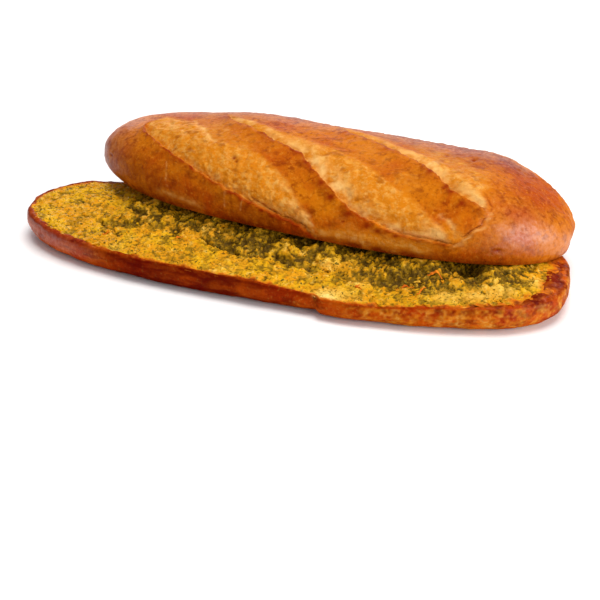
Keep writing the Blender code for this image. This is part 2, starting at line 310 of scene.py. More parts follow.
def makeCrustMaterial(name, look):
    material, tree, shader = newMaterial(name, {
        "Roughness": 0.48,
        "Specular IOR Level": look["specular"],
        "Specular Tint": (1.0, 0.42, 0.06, 1),
        "Coat Roughness": 0.30,
        "Coat IOR": 1.80,
    })
    place = objectPlace(tree)
    patches = spots(tree, place, crustSpots["patches"], detail=4.0, warp=0.4)
    mottle = spots(tree, place, crustSpots["mottle"], detail=5.0, rough=0.62)
    speck = spots(tree, place, crustSpots["speck"], rough=0.7)
    slanted = {"Vector": place, "Rotation": (0, 0, 0.6), "Scale": (0.65, 1, 1)}
    turned = addNode(tree, "ShaderNodeMapping", slanted)
    fibre = spots(tree, turned.outputs[0], crustSpots["fibre"], detail=4.0, rough=0.65)
    blister = spots(tree, turned.outputs[0], crustSpots["blister"], detail=2.0, rough=0.5)
    peel = spots(tree, place, crustSpots["peel"], detail=4.0, rough=0.68)
    drawn = addNode(tree, "ShaderNodeMapping", {"Vector": place, "Scale": look["streaks"]})
    streak = spots(tree, drawn.outputs[0], crustSpots["streak"], warp=0.3)
    normal = addNode(tree, "ShaderNodeTexCoord").outputs["Normal"]
    facing = addNode(tree, "ShaderNodeSeparateXYZ", {0: normal})
    upward = between(tree, facing.outputs["Z"], 0.45, 0.80)  # only the sides are streaked
    streak = addNode(tree, "ShaderNodeMix", {0: upward, 2: streak, 3: mottle}).outputs[0]
    glossy = attributeShare(tree, "glossy")
    calm = maths(tree, "MULTIPLY_ADD", between(tree, glossy, 0.30, 0.90), -0.75, 1.0)  # shiny crust is smooth
    # the closed crust: gold to brown in soft patches, with darker and lighter spots
    colour = blendColour(tree, between(tree, patches, 0.36, 0.66), look["gold"], look["brown"])
    colour = blendColour(tree, partly(tree, streak, 0.50, 0.68, 0.50), colour, look["deep"])
    for spotty, low, high, most, tone in (
            (mottle, 0.50, 0.74, 0.36, "deep"), (peel, 0.53, 0.68, 0.20, "deep"),
            (peel, 0.45, 0.33, 0.35, "openLight"), (speck, 0.58, 0.70, 0.10, "deep")):
        share = times(tree, partly(tree, spotty, low, high, most), calm)
        colour = blendColour(tree, share, colour, look[tone])
    # the opened slashes: paler, with light fibres and flecks
    opened = blendColour(tree, between(tree, fibre, 0.44, 0.66), look["open"], look["openLight"])
    opened = blendColour(tree, partly(tree, patches, 0.50, 0.66, 0.35), opened, look["gold"])
    bare = between(tree, attributeShare(tree, "opened"), 0.55, 1.00)  # flecks only on fully opened crust
    for spotty, low, high, most in ((mottle, 0.52, 0.66, 0.55), (speck, 0.56, 0.68, 0.35)):
        share = times(tree, partly(tree, spotty, low, high, most), bare)
        opened = blendColour(tree, share, opened, look["fleck"])
    opened = blendColour(tree, partly(tree, peel, 0.54, 0.68, 0.30), opened, look["brown"])
    colour = blendColour(tree, attributeShare(tree, "opened"), colour, opened)
    # over both: baked darker and painted shade, blistered, pale, and seared with painted shade in the dark
    # creases and pits
    thin = partly(tree, streak, 0.52, 0.36, -look["thin"])
    bakedAndShade = times(tree, attributeShare(tree, "bakedAndShade"), maths(tree, "ADD", thin, 1.0))
    colour = blendColour(tree, bakedAndShade, colour, look["deep"])
    colour = blendColour(tree, partly(tree, peel, 0.46, 0.34, look["flecks"]), colour, look["open"])
    spotted = times(tree, partly(tree, blister, 0.56, 0.70, 0.45), calm)
    colour = blendColour(tree, spotted, colour, look["deep"])
    colour = blendColour(tree, attributeShare(tree, "pale"), colour, look["cream"])
    colour = blendColour(tree, attributeShare(tree, "searedAndShade"), colour, look["searedAndShade"])
    tree.links.new(colour, shader.inputs["Base Color"])
    # the shine is broken up where the crust peels
    broken = maths(tree, "MULTIPLY_ADD", between(tree, peel, 0.68, 0.40), 0.6, 0.4)
    shine = times(tree, glossy, times(tree, broken, look["gloss"]))
    tree.links.new(shine, shader.inputs["Coat Weight"])
    bumps = maths(tree, "ADD", times(tree, mottle, 0.5), times(tree, peel, 0.5))
    addBump(tree, shader, bumps, look["relief"])
    return material


crumbLook = dict(
    butter=(0.64, 0.275, 0.004),
    yellow=(0.66, 0.345, 0.005),
    # pale and cream also paint the highlight on the crumb's tips
    pale=(0.77, 0.49, 0.085),
    cream=(0.86, 0.66, 0.200),
    orange=(0.58, 0.140, 0.003),
    toast=(0.20, 0.024, 0.001),  # the browned edge
    olive=(0.24, 0.128, 0.003),  # soaked with herbs, and painted shade in the gaps
    pit=(0.060, 0.028, 0.002),  # painted shade at the bottom of the gaps, and the herb dots
)
# sizes of the crumb's spots of colour
crumbSpots = dict(patches=0.012, small=0.0030, other=0.0065, speck=0.0016, light=0.0042)


def makeCrumbMaterial(name, look):
    material, tree, shader = newMaterial(name, {
        "Roughness": 0.50,
        "Specular IOR Level": 0.22,
        "Specular Tint": (1.0, 0.70, 0.20, 1),
    })
    place = objectPlace(tree)
    moved = addNode(tree, "ShaderNodeMapping", {"Vector": place, "Location": (3.0, 1.0, 2.0)}).outputs[0]
    patches = spots(tree, place, crumbSpots["patches"], detail=4.0, warp=0.3)
    small = spots(tree, place, crumbSpots["small"], detail=4.0, rough=0.6)
    other = spots(tree, moved, crumbSpots["other"], detail=5.0, rough=0.62, warp=0.5)
    speck = spots(tree, moved, crumbSpots["speck"], rough=0.6)
    shifted = addNode(tree, "ShaderNodeMapping", {"Vector": place, "Location": (7.0, 4.0, 1.0)}).outputs[0]
    light = spots(tree, shifted, crumbSpots["light"], detail=4.0, rough=0.6, warp=0.4)
    colour = blendColour(tree, between(tree, patches, 0.40, 0.58), look["yellow"], look["butter"])
    colour = blendColour(tree, partly(tree, light, 0.56, 0.68, 0.75), colour, look["pale"])
    colour = blendColour(tree, partly(tree, small, 0.56, 0.68, 0.45), colour, look["orange"])
    colour = blendColour(tree, partly(tree, other, 0.53, 0.64, 0.60), colour, look["olive"])
    # pale and then creamy where it is rich in butter and as painted highlight on the tips, and browned at its
    # edge
    uneven = maths(tree, "MULTIPLY_ADD", speck, -2.0, maths(tree, "MULTIPLY_ADD", light, 0.6, 1.7))
    creamyAndLit = times(tree, attributeShare(tree, "creamyAndLit"), uneven)
    colour = blendColour(tree, between(tree, creamyAndLit, 0.0, 0.66), colour, look["pale"])
    colour = blendColour(tree, partly(tree, creamyAndLit, 0.66, 1.0, 0.8), colour, look["cream"])
    toasted = attributeShare(tree, "toasted")
    colour = blendColour(tree, between(tree, toasted, 0.05, 0.50), colour, look["orange"])
    colour = blendColour(tree, between(tree, toasted, 0.40, 1.00), colour, look["toast"])
    # painted shade: the deeper in a gap, the more olive and then the darker, broken up by fine grain
    crumbShade = attributeShare(tree, "crumbShade")
    uneven = maths(tree, "MULTIPLY_ADD", speck, 1.6, maths(tree, "MULTIPLY_ADD", small, 1.0, -0.3))
    crumbShade = times(tree, crumbShade, uneven)
    colour = blendColour(tree, partly(tree, crumbShade, 0.08, 0.50, 0.85), colour, look["olive"])
    deepTone = blendColour(tree, partly(tree, light, 0.44, 0.60, 0.60), look["pit"], look["olive"])
    colour = blendColour(tree, between(tree, crumbShade, 0.42, 0.95), colour, deepTone)
    # dark dots of herb, fewer where it is creamy or has painted highlight
    dots = between(tree, maths(tree, "MULTIPLY_ADD", crumbShade, 0.06, speck), 0.60, 0.67)
    dots = times(tree, dots, maths(tree, "MULTIPLY_ADD", between(tree, creamyAndLit, 0.4, 0.8), -0.6, 0.75))
    colour = blendColour(tree, dots, colour, look["pit"])
    tree.links.new(colour, shader.inputs["Base Color"])
    addBump(tree, shader, maths(tree, "ADD", small, times(tree, speck, 0.5)), 0.0010)
    return material


def makeFleckMaterial(name, dark, light, size):
    material, tree, shader = newMaterial(name, {"Roughness": 0.6, "Specular IOR Level": 0.10})
    tone = spots(tree, objectPlace(tree), size, detail=2.0)
    colour = blendColour(tree, between(tree, tone, 0.35, 0.65), dark, light)
    tree.links.new(colour, shader.inputs["Base Color"])
    return material


# ---- the top half


topHalf = dict(
    length=0.3186, width=0.1246,
    taper=0.075,  # it widens to the right
    right=2.51, backLeft=2.47, frontLeft=2.47,  # how square the outline is: 2 is an ellipse
    heightLeft=0.0447, heightRight=0.0495,
    sideRound=1.85, leftRound=2.72, rightRound=2.62,  # how full the dome is towards each side
    place=Vector((0.0128, 0.0492, 0.0215)), lean=-0.050, pitch=0.025, turn=-0.058,
    waist=dict(middle=0.0085, left=0.0025, right=-0.0055),  # widest place, over the cut edge
    tuck=dict(middle=0.0022, left=0.0090, right=-0.0030),  # how far the cut edge turns in below it
    crownWave=((-0.150, 0.0), (-0.095, -0.0012), (-0.052, 0.0012), (0.030, -0.0012), (0.080, -0.0006),
               (0.110, 0.0026), (0.130, 0.0012), (0.148, -0.0014)),
    girth=0.085,  # from the ridge down over the side to the widest place
    wallGirth=0.10,  # the wall below it, as a share of that
    columns=330, rows=176, wallRows=6,
    crustThick=0.0030, crumbInset=0.0016,
    nose=0.0026,  # how far the right tip stands out
)

# Each slash opens between its ear, the lifted crust below it, and its back edge. The points are
# x and girth: 0 on the ridge, -1 at the widest place in front and 1 at the back. Sear and cream
# are how scorched its ear is and how pale the streak behind it.
slashes = (
    dict(depth=0.0032, sear=0.80, cream=0.15,
         ear=((-0.1280, -0.13), (-0.1204, -0.36), (-0.0983, -0.53), (-0.0671, -0.70), (-0.0319, -0.85),
              (0.0040, -1.00), (0.0160, -1.10)),
         back=((-0.1280, -0.13), (-0.1184, 0.06), (-0.0959, -0.06), (-0.0758, -0.18), (-0.0662, -0.32),
               (-0.0320, -0.37), (-0.0094, -0.55), (0.0124, -0.85), (0.0160, -1.02))),
    dict(depth=0.0032, sear=0.65, cream=0.55,
         ear=((-0.0880, 0.25), (-0.0785, 0.13), (-0.0653, -0.07), (-0.0339, -0.22), (-0.0074, -0.33),
              (0.0116, -0.52), (0.0343, -0.74), (0.0655, -0.90), (0.0986, -0.95)),
         back=((-0.0880, 0.25), (-0.0604, 0.02), (-0.0297, -0.10), (0.0100, -0.17), (0.0285, -0.24),
               (0.0475, -0.36), (0.0734, -0.56), (0.0918, -0.77), (0.0986, -0.90))),
    dict(depth=0.0028, sear=0.40, cream=0.30,
         ear=((-0.0200, 0.30), (0.0049, 0.08), (0.0320, -0.05), (0.0634, -0.20), (0.0749, -0.27),
              (0.0905, -0.45), (0.1149, -0.60)),
         back=((-0.0200, 0.30), (0.0168, 0.14), (0.0525, -0.02), (0.0756, -0.09), (0.0956, -0.22),
               (0.1093, -0.36), (0.1149, -0.58))),
)
slashForm = dict(
    earLift=0.0015, earReach=0.0055,  # how high the ear stands and how far before it the crust rises
    earLean=0.0003, leanReach=0.0022,  # how far its edge leans back over the opening
    earDrop=0.0014,  # run of its steep inner face
    swell=0.0014,  # bulge along the middle of the opening
    open=0.012,  # a slash this wide has its full depth
    earEase=0.0010, backEase=0.0045,  # soft edges of the opened crust's colour
    notch=0.0014, notchSize=0.0050, fineNotch=0.00063, fineNotchSize=0.0018,  # the ragged line of the ear
    scorch=0.0011, scorchMore=0.0019, scorchSize=0.0070,  # width of the scorched line before the ear
    innerScorch=0.0013,
    creamAt=0.0046, creamWide=0.0030,  # pale streak behind the ear
    creamFrom=0.030, creamRun=0.045,  # it is weaker in the first part of the slash
)
# Soft changes of colour: x, girth, radius and strength. Above 0 the crust is paler and more
# golden there, and below 0 it is darker.
softPatches = (
    (-0.0700, -0.26, 0.015, 0.80), (-0.0450, -0.38, 0.010, 0.60), (-0.0320, -0.30, 0.009, 0.30),
    (0.0300, -0.20, 0.012, 0.25), (0.0596, -0.42, 0.011, 0.45), (0.0430, -0.30, 0.010, 0.15),
    (0.0959, -0.86, 0.010, 0.80), (0.0800, -0.97, 0.008, 0.50), (0.0350, -0.86, 0.008, 0.25),
    (0.1100, -0.92, 0.009, 0.25), (0.1350, -0.45, 0.020, -0.18), (0.1250, -0.80, 0.012, -0.20),
    (0.1450, -0.15, 0.030, -0.22), (-0.1450, -0.75, 0.030, -0.50), (-0.1080, -0.85, 0.022, -0.42),
    (-0.0850, -0.95, 0.018, -0.32),
    (-0.0600, -0.92, 0.012, -0.30), (-0.0351, -1.02, 0.012, -0.80), (-0.0150, -1.05, 0.010, -0.50),
    (0.0400, -1.11, 0.006, -0.80), (0.0560, -1.11, 0.006, -0.80), (0.0720, -1.10, 0.006, -0.70),
    (0.0360, -1.01, 0.008, 0.90), (0.0500, -1.02, 0.008, 1.10), (0.0640, -1.02, 0.008, 1.10),
    (0.0780, -1.02, 0.007, 0.80), (0.0260, -1.02, 0.006, 0.60), (0.0805, -0.59, 0.009, -0.15),
    (0.0000, -0.60, 0.010, -0.20), (-0.0141, -0.46, 0.008, -0.20), (0.0127, -0.76, 0.009, -0.10),
    (0.1170, -0.98, 0.009, -0.40), (0.0930, -0.62, 0.007, -0.15), (0.0690, -0.34, 0.006, -0.20),
    (0.0723, -0.505, 0.004, -0.30), (0.0813, -0.593, 0.003, -0.25), (0.0640, -0.40, 0.004, -0.15),
    (0.0430, 0.06, 0.009, 0.55), (0.0600, 0.03, 0.009, 0.65), (0.0740, -0.03, 0.010, 0.80),
    (0.0870, -0.12, 0.010, 0.85), (0.0980, -0.24, 0.010, 0.85), (0.1060, -0.36, 0.009, 0.80),
    (0.0450, 0.30, 0.020, -0.50), (0.0900, 0.25, 0.030, -0.50), (-0.0600, 0.40, 0.040, -0.35),
    (-0.0960, -1.00, 0.0040, 0.8), (-0.0900, -1.00, 0.0040, 0.9), (-0.0840, -1.01, 0.0040, 0.9),
    (-0.0780, -1.01, 0.0040, 0.8), (-0.0720, -1.02, 0.0036, 0.7), (-0.0660, -1.03, 0.0034, 0.6),
    (0.0190, -1.02, 0.0036, 0.8), (0.0280, -1.02, 0.0036, 0.8),
    (0.0600, 0.80, 0.050, -0.50), (-0.0700, 0.85, 0.050, -0.55), (-0.0100, 0.60, 0.030, -0.40),
    (0.0300, 0.45, 0.012, -0.40), (-0.0300, 0.30, 0.010, -0.35), (0.1150, 0.15, 0.014, -0.45),
)
# creases in the crust: points of x and girth, width, depth and how pale they are; those with no paleness are
# darkened with painted shade
creases = (
    (((0.1157, -0.60), (0.1149, -0.714), (0.1077, -0.836), (0.1016, -0.931)), 0.0014, 0.0004, 0.70),
    (((0.1135, -0.650), (0.1105, -0.745), (0.1040, -0.850)), 0.0007, 0.0012, 0.0),
    (((0.0830, 0.0), (0.0850, 0.20), (0.1100, 0.35), (0.1190, 0.26)), 0.0009, 0.0006, 0.10),
    (((-0.0930, -0.06), (-0.0884, -0.129), (-0.0761, -0.27), (-0.0660, -0.366)), 0.0016, 0.0004, 0.80),
    (((0.0030, -0.56), (0.0110, -0.48)), 0.0006, 0.0005, 0.0),
    (((-0.0980, -1.00), (-0.0832, -1.01), (-0.0700, -1.02), (-0.0590, -1.04)), 0.0018, 0.0, 0.22),
    (((0.0990, -0.80), (0.1040, -0.88), (0.1000, -0.95)), 0.0010, 0.0006, 0.35),
    (((0.0880, -0.66), (0.0960, -0.74), (0.0985, -0.86)), 0.0012, 0.0005, 0.55),
    (((0.1020, -0.46), (0.1080, -0.53), (0.1130, -0.60)), 0.0014, 0.0004, 0.70),
    (((0.0080, -0.88), (0.0130, -0.96), (0.0150, -1.04)), 0.0018, 0.0003, 0.80),
    (((0.0150, -1.03), (0.0250, -1.02), (0.0380, -1.02), (0.0490, -1.03)), 0.0016, 0.0002, 0.20),
    (((-0.0300, -0.80), (-0.0208, -0.850), (-0.0130, -0.915), (-0.0030, -0.99)), 0.0009, 0.0007, 0.0),
    (((-0.0935, -0.64), (-0.0915, -0.78), (-0.0897, -0.92)), 0.0006, 0.0, 0.30),
    (((-0.0464, -0.81), (-0.0466, -0.97)), 0.0008, 0.0, 0.30),
    (((-0.0342, -0.85), (-0.0346, -0.97)), 0.0007, 0.0, 0.28),
)
# small pits, darkened with painted shade: x, girth, radius and depth
pits = (
    (-0.1426, -0.825, 0.0014, 0.0008), (-0.0481, -0.488, 0.0016, 0.0009), (-0.0455, -0.515, 0.0010, 0.0006),
    (0.1238, -0.96, 0.0017, 0.0010), (0.0964, 0.13, 0.0012, 0.0007), (0.0320, -0.86, 0.0009, 0.0005),
    (0.0779, 0.00, 0.0013, 0.0006), (0.0949, 0.002, 0.0014, 0.0007), (0.0937, 0.212, 0.0011, 0.0006),
    (0.0996, 0.255, 0.0011, 0.0006), (0.0525, 0.083, 0.0010, 0.0005),
)
# scorched spots beside the slashes: x, girth and radius
scorches = (
    (0.0359, -0.051, 0.0022), (0.0462, -0.093, 0.0020), (0.0738, -0.282, 0.0026), (0.0863, -0.414, 0.0024),
    (0.0899, -0.450, 0.0028), (0.0982, -0.550, 0.0024),
    (-0.0020, -0.400, 0.0030), (0.0125, -0.553, 0.0030), (0.0210, -0.655, 0.0032),
    (0.0345, -0.775, 0.0030), (0.0474, -0.858, 0.0026), (0.0539, -0.891, 0.0024), (0.0649, -0.913, 0.0022),
    (-0.0290, -0.864, 0.0022), (-0.0204, -0.910, 0.0022), (-0.0134, -0.954, 0.0022),
)
# pale streaks in the slashes: x, girth, length, width, turn and strength
paleStreaks = (
    (-0.1054, -0.18, 0.010, 0.003, 0.5, 0.35), (-0.0860, -0.13, 0.010, 0.003, 0.9, 0.5),
    (0.0110, -0.92, 0.006, 0.0035, 1.1, 1.6), (-0.0040, -0.74, 0.016, 0.004, 1.0, 0.35),
    (-0.0520, -0.04, 0.020, 0.003, 0.3, 0.6), (0.0010, -0.33, 0.012, 0.005, 0.8, 0.6),
    (0.0220, -0.50, 0.014, 0.005, 0.9, 0.5), (0.0440, -0.70, 0.016, 0.005, 0.7, 0.3),
    (0.0700, -0.16, 0.018, 0.005, 0.6, 0.5), (0.1010, -0.40, 0.012, 0.004, 0.9, 0.5),
    (0.1110, -0.55, 0.006, 0.004, 0.6, 0.7), (0.0870, -0.78, 0.008, 0.005, 0.9, 1.1),
)
creaseBend = dict(reach=0.0012, size=0.006)  # how far the creases wander from their lines
topRelief = dict(
    wave=0.0010, waveRate=22,  # long waves over the whole crust
    dent=0.00035, dentSize=0.011,
    skin=0.00016, skinSize=0.0032, cellSize=0.0034,  # closed crust
    wrinkle=0.00040, wrinkleSize=0.0065, blister=0.00045, blisterSize=0.0034,  # on the back and the ridge
    ridge=0.00060, ridgeSize=0.0050,
    torn=0.00060, tornSize=0.0055, fineTorn=0.00045, fineTornSize=0.0022,  # inside the slashes
    swollen=0.00045, swollenSize=0.0034,
)
topShine = dict(
    x=0.142, girth=-0.76, long=0.026, high=0.34,  # the sheen on the right end
    leftEnd=0.75, leftFrom=0.115, leftRun=0.035,
    ridge=0.50, ridgeFrom=-0.04, ridgeRun=0.28, ridgeTo=0.90,  # girths
)
earUp = Vector((0.35, 1.0, 0.0)).normalized()  # the way the ears lean


def topMatrix():
    lean = Matrix.Rotation(topHalf["lean"], 4, "X")
    pitch = Matrix.Rotation(topHalf["pitch"], 4, "Y")
    turn = Matrix.Rotation(topHalf["turn"], 4, "Z")
    return Matrix.Translation(loafMiddle + topHalf["place"]) @ turn @ pitch @ lean


topPlace = topMatrix()
topPlaceInverse = topPlace.inverted()


def atEnds(values, angle):
    left = max(0.0, -math.cos(angle)) ** 5
    right = max(0.0, math.cos(angle)) ** 5
    return values["middle"] + values["left"] * left + values["right"] * right


def domeHeight(angle, radius, x):
    endShare = math.cos(angle) ** 2
    end = topHalf["rightRound"] if math.cos(angle) > 0 else topHalf["leftRound"]
    power = topHalf["sideRound"] * (1 - endShare) + end * endShare
    middle = (topHalf["heightLeft"] + topHalf["heightRight"]) / 2
    crown = middle + (topHalf["heightRight"] - topHalf["heightLeft"]) * x / topHalf["length"]
    crown += lineAt(topHalf["crownWave"], x, smoothStep)
    waist = atEnds(topHalf["waist"], angle)
    return waist + (crown - waist) * max(0.0, 1 - radius**power) ** (1 / power)


def girthOf(x, y):
    # 0 on the ridge, -1 at the widest place in front and 1 at the back
    along = x / (topHalf["length"] / 2)
    square = squareness(topHalf, along, y)
    reach = max(1e-6, 1 - abs(along) ** square) ** (1 / square)
    half = topHalf["width"] / 2 * (1 + topHalf["taper"] * along) * reach
    return math.copysign(math.asin(min(1.0, abs(y) / half)) * 2 / math.pi, y)


def onSurface(points):
    # the girths of a line of points in metres
    return [(x, girth * topHalf["girth"]) for x, girth in points]


slashLines = [(slash, onSurface(slash["ear"]), onSurface(slash["back"])) for slash in slashes]
creaseLines = [(onSurface(points), width, deep, pallor) for points, width, deep, pallor in creases]


def slashAt(x, girth):
    # relief, lean and masks of the slashes at a point of the crust
    form = slashForm
    lift, lean, opened, searedAndShade, cream = 0.0, 0.0, 0.0, 0.0, 0.0
    down = girth * topHalf["girth"]
    for slash, ear, back in slashLines:
        first, last = ear[0][0], ear[-1][0]
        if not first < x < last:
            continue
        low, high = lineAt(ear, x), lineAt(back, x)
        if down > high + 0.02 or down < low - 0.03:  # too far off to matter
            continue
        onEar = Vector((x, low, 0.0))
        notch = form["notch"] * grain(onEar, form["notchSize"], 4.0)
        notch += form["fineNotch"] * grain(onEar, form["fineNotchSize"], 9.0)
        behind = math.copysign(lineDistance(ear, x, down), down - low) + notch
        before = math.copysign(lineDistance(back, x, down), high - down)
        width = max(0.001, abs(behind) + abs(before))
        fade = smoothStep((high - low) / form["open"])
        if behind < 0:  # the crust in front of the ear
            lift += form["earLift"] * fade * bell(behind, form["earReach"])
            lean += form["earLean"] * fade * bell(behind, form["leanReach"])
            wide = smoothStep(0.45 + 1.4 * grain(onEar, form["scorchSize"], 3.0))
            scorch = form["scorch"] + form["scorchMore"] * wide
            searedAndShade = max(searedAndShade, slash["sear"] * fade * bell(behind, scorch))
        elif before > 0:  # the opening, deepest behind the ear and rising to its back edge
            share = behind / width
            fall = smoothStep(behind / form["earDrop"])
            lift += form["earLift"] * fade * (1 - fall)
            lean += form["earLean"] * fade * (1 - fall)
            lift -= slash["depth"] * fade * fall * (1 - share) ** 1.3
            lift += form["swell"] * fade * math.sin(math.pi * share)
            opened = max(opened, smoothStep(behind / form["earEase"]) * smoothStep(before / form["backEase"]))
            searedAndShade = max(searedAndShade, slash["sear"] * fade * bell(behind, form["innerScorch"]))
            along = 0.30 + 0.70 * smoothStep((x - first - form["creamFrom"]) / form["creamRun"])
            streak = bell(behind - form["creamAt"], form["creamWide"])
            cream = max(cream, slash["cream"] * fade * along * streak)
    return lift, lean, opened, searedAndShade, cream


def paleAt(x, girth):
    down = girth * topHalf["girth"]
    total = 0.0
    for streakX, streakGirth, length, width, turn, strength in paleStreaks:
        dx, dy = x - streakX, down - streakGirth * topHalf["girth"]
        along = dx * math.cos(turn) - dy * math.sin(turn)
        across = dx * math.sin(turn) + dy * math.cos(turn)
        total += strength * math.exp(-((along / length) ** 2) - (across / width) ** 2)
    return min(1.0, total)


def patchesAt(x, girth):
    # how much paler and how much darker the crust is than usual
    down = girth * topHalf["girth"]
    paler, darker = 0.0, 0.0
    for patchX, patchGirth, radius, strength in softPatches:
        away = math.hypot(x - patchX, down - patchGirth * topHalf["girth"]) / radius
        if away < 3:
            share = abs(strength) * bell(away, 1.0)
            paler, darker = (paler + share, darker) if strength > 0 else (paler, darker + share)
    return paler, darker


def creasesAt(x, girth, margin=0.02):
    # depth, paleness and darkness of the creases, pits and scorched spots; the darkness of the dark creases
    # and the pits is painted shade
    down = girth * topHalf["girth"]
    place = Vector((x, down, 0.0))
    depth, pale, dark = 0.0, 0.0, 0.0
    bend = noise.noise_vector(place / creaseBend["size"]) * creaseBend["reach"]
    bentX, bentDown = x + bend.x, down + bend.y
    for line, width, deep, pallor in creaseLines:
        left, right = sorted((line[0][0], line[-1][0]))
        if not left - margin < x < right + margin:
            continue
        wide = width * (0.65 + 0.7 * grain(place, 0.004, 21.0))
        near = bell(lineDistance(line, bentX, bentDown), max(0.0003, wide))
        depth += deep * near
        pale = max(pale, pallor * near)
        dark = max(dark, 0.5 * near if pallor == 0 else 0.0)
    for pitX, pitGirth, radius, deep in pits:
        near = bell(math.hypot(x - pitX, down - pitGirth * topHalf["girth"]), radius)
        depth += deep * near
        dark = max(dark, near)
    for spotX, spotGirth, radius in scorches:
        away = math.hypot(x - spotX, down - spotGirth * topHalf["girth"]) / radius
        if away < 3:
            dark = max(dark, 0.95 * math.exp(-away * away * (1 + 0.6 * grain(place, 0.002, 2.0))))
    return depth, pale, dark


def topLift(point, girth, opened, cream):
    # the crust's own unevenness: the back and the ridge are wrinkled and blistered, the front bands
    # are smooth and the slashes are rough
    form = topRelief
    lift = form["wave"] * noise.noise(Vector((point.x * form["waveRate"], point.y * form["waveRate"], 0.0)))
    lift += form["dent"] * grain(point, form["dentSize"], 2.0)
    wrinkled = smoothStep((girth + 0.30) / 0.25) * smoothStep((point.x + 0.11) / 0.10) * (1 - 0.7 * opened)
    wrinkle = form["wrinkle"] * grain(point, form["wrinkleSize"], 13.0)
    wrinkle += form["blister"] * (bubbles(point, form["blisterSize"], 14.0) - 0.5)
    drawn = Vector((point.x + 0.8 * point.y, 2.6 * (point.y - 0.5 * point.x), point.z))
    wrinkle += form["ridge"] * smoothStep((girth - 0.02) / 0.25) * grain(drawn, form["ridgeSize"], 23.0)
    smooth = form["skin"] * grain(point, form["skinSize"], 5.0)
    smooth += form["skin"] * (cellLumps(point, form["cellSize"], 3.0) - 0.4) + wrinkled * wrinkle
    rough = form["torn"] * grain(point, form["tornSize"], 6.0)
    rough += form["fineTorn"] * grain(point, form["fineTornSize"], 8.0)
    narrow = Vector((0.8 * point.x, point.y, point.z))
    rough += form["swollen"] * (bubbles(narrow, form["swollenSize"], 18.0) - 0.5)
    return lift + smooth * (1 - opened) + rough * opened * (1 - 0.5 * cream)


def topShades(point, girth, wall, slash, crease):
    # the masks of the crust, from what the slashes and creases are like here
    opened, searedAndShade, cream = slash
    creasePale, creaseShade = crease
    paler, darker = patchesAt(point.x, girth)
    ragged = 0.75 + 1.0 * grain(point, 0.0055, 11.0)
    fleck = 0.55 + 1.2 * grain(point, 0.0060, 9.0) + 0.5 * grain(point, 0.0020, 19.0)
    pale = min(0.9, paleAt(point.x, girth) + cream) * opened * fleck
    pale = max(pale, creasePale * (0.6 + 1.1 * grain(point, 0.0028, 15.0)))
    golden = min(1.0, max(opened, paler * (1 + 0.5 * grain(point, 0.007, 16.0))))
    under = smoothStep((wall - 0.25) / 0.6)  # painted shade where the crust turns in to the cut edge
    bakedAndShade = darker * (1 + 0.4 * grain(point, 0.012, 17.0)) * (1 - 0.8 * opened) + 0.55 * under
    shine = topShine
    leftEnd = shine["leftEnd"] * smoothStep((-point.x - shine["leftFrom"]) / shine["leftRun"])
    away = math.hypot((point.x - shine["x"]) / shine["long"], (girth - shine["girth"]) / shine["high"])
    ridge = shine["ridge"] * smoothStep((girth - shine["ridgeFrom"]) / shine["ridgeRun"])
    ridge *= smoothStep((shine["x"] - point.x) / 0.030)
    ridge *= smoothStep((shine["ridgeTo"] - girth) / 0.35)
    return dict(
        opened=golden,
        # scorched lips and spots, with painted shade in the dark creases and pits
        searedAndShade=max(searedAndShade * ragged, creaseShade),
        pale=pale,
        bakedAndShade=bakedAndShade,
        glossy=max(ridge, leftEnd, math.exp(-(away**3))) * (1 - 0.7 * opened),
    )


def growWall(mesh):
    # grows the open edge down from the widest place to the cut edge, row by row
    walls = {}
    for row in range(1, topHalf["wallRows"] + 1):
        share = row / topHalf["wallRows"]
        for vertex in growBorder(mesh):
            angle = planAngle(topHalf, vertex.co.x, vertex.co.y)
            x, y = insetPoint(topHalf, angle, 1.0, atEnds(topHalf["tuck"], angle) * share**2)
            vertex.co = (x, y, atEnds(topHalf["waist"], angle) * (1 - share))
            walls[vertex] = share
    return walls


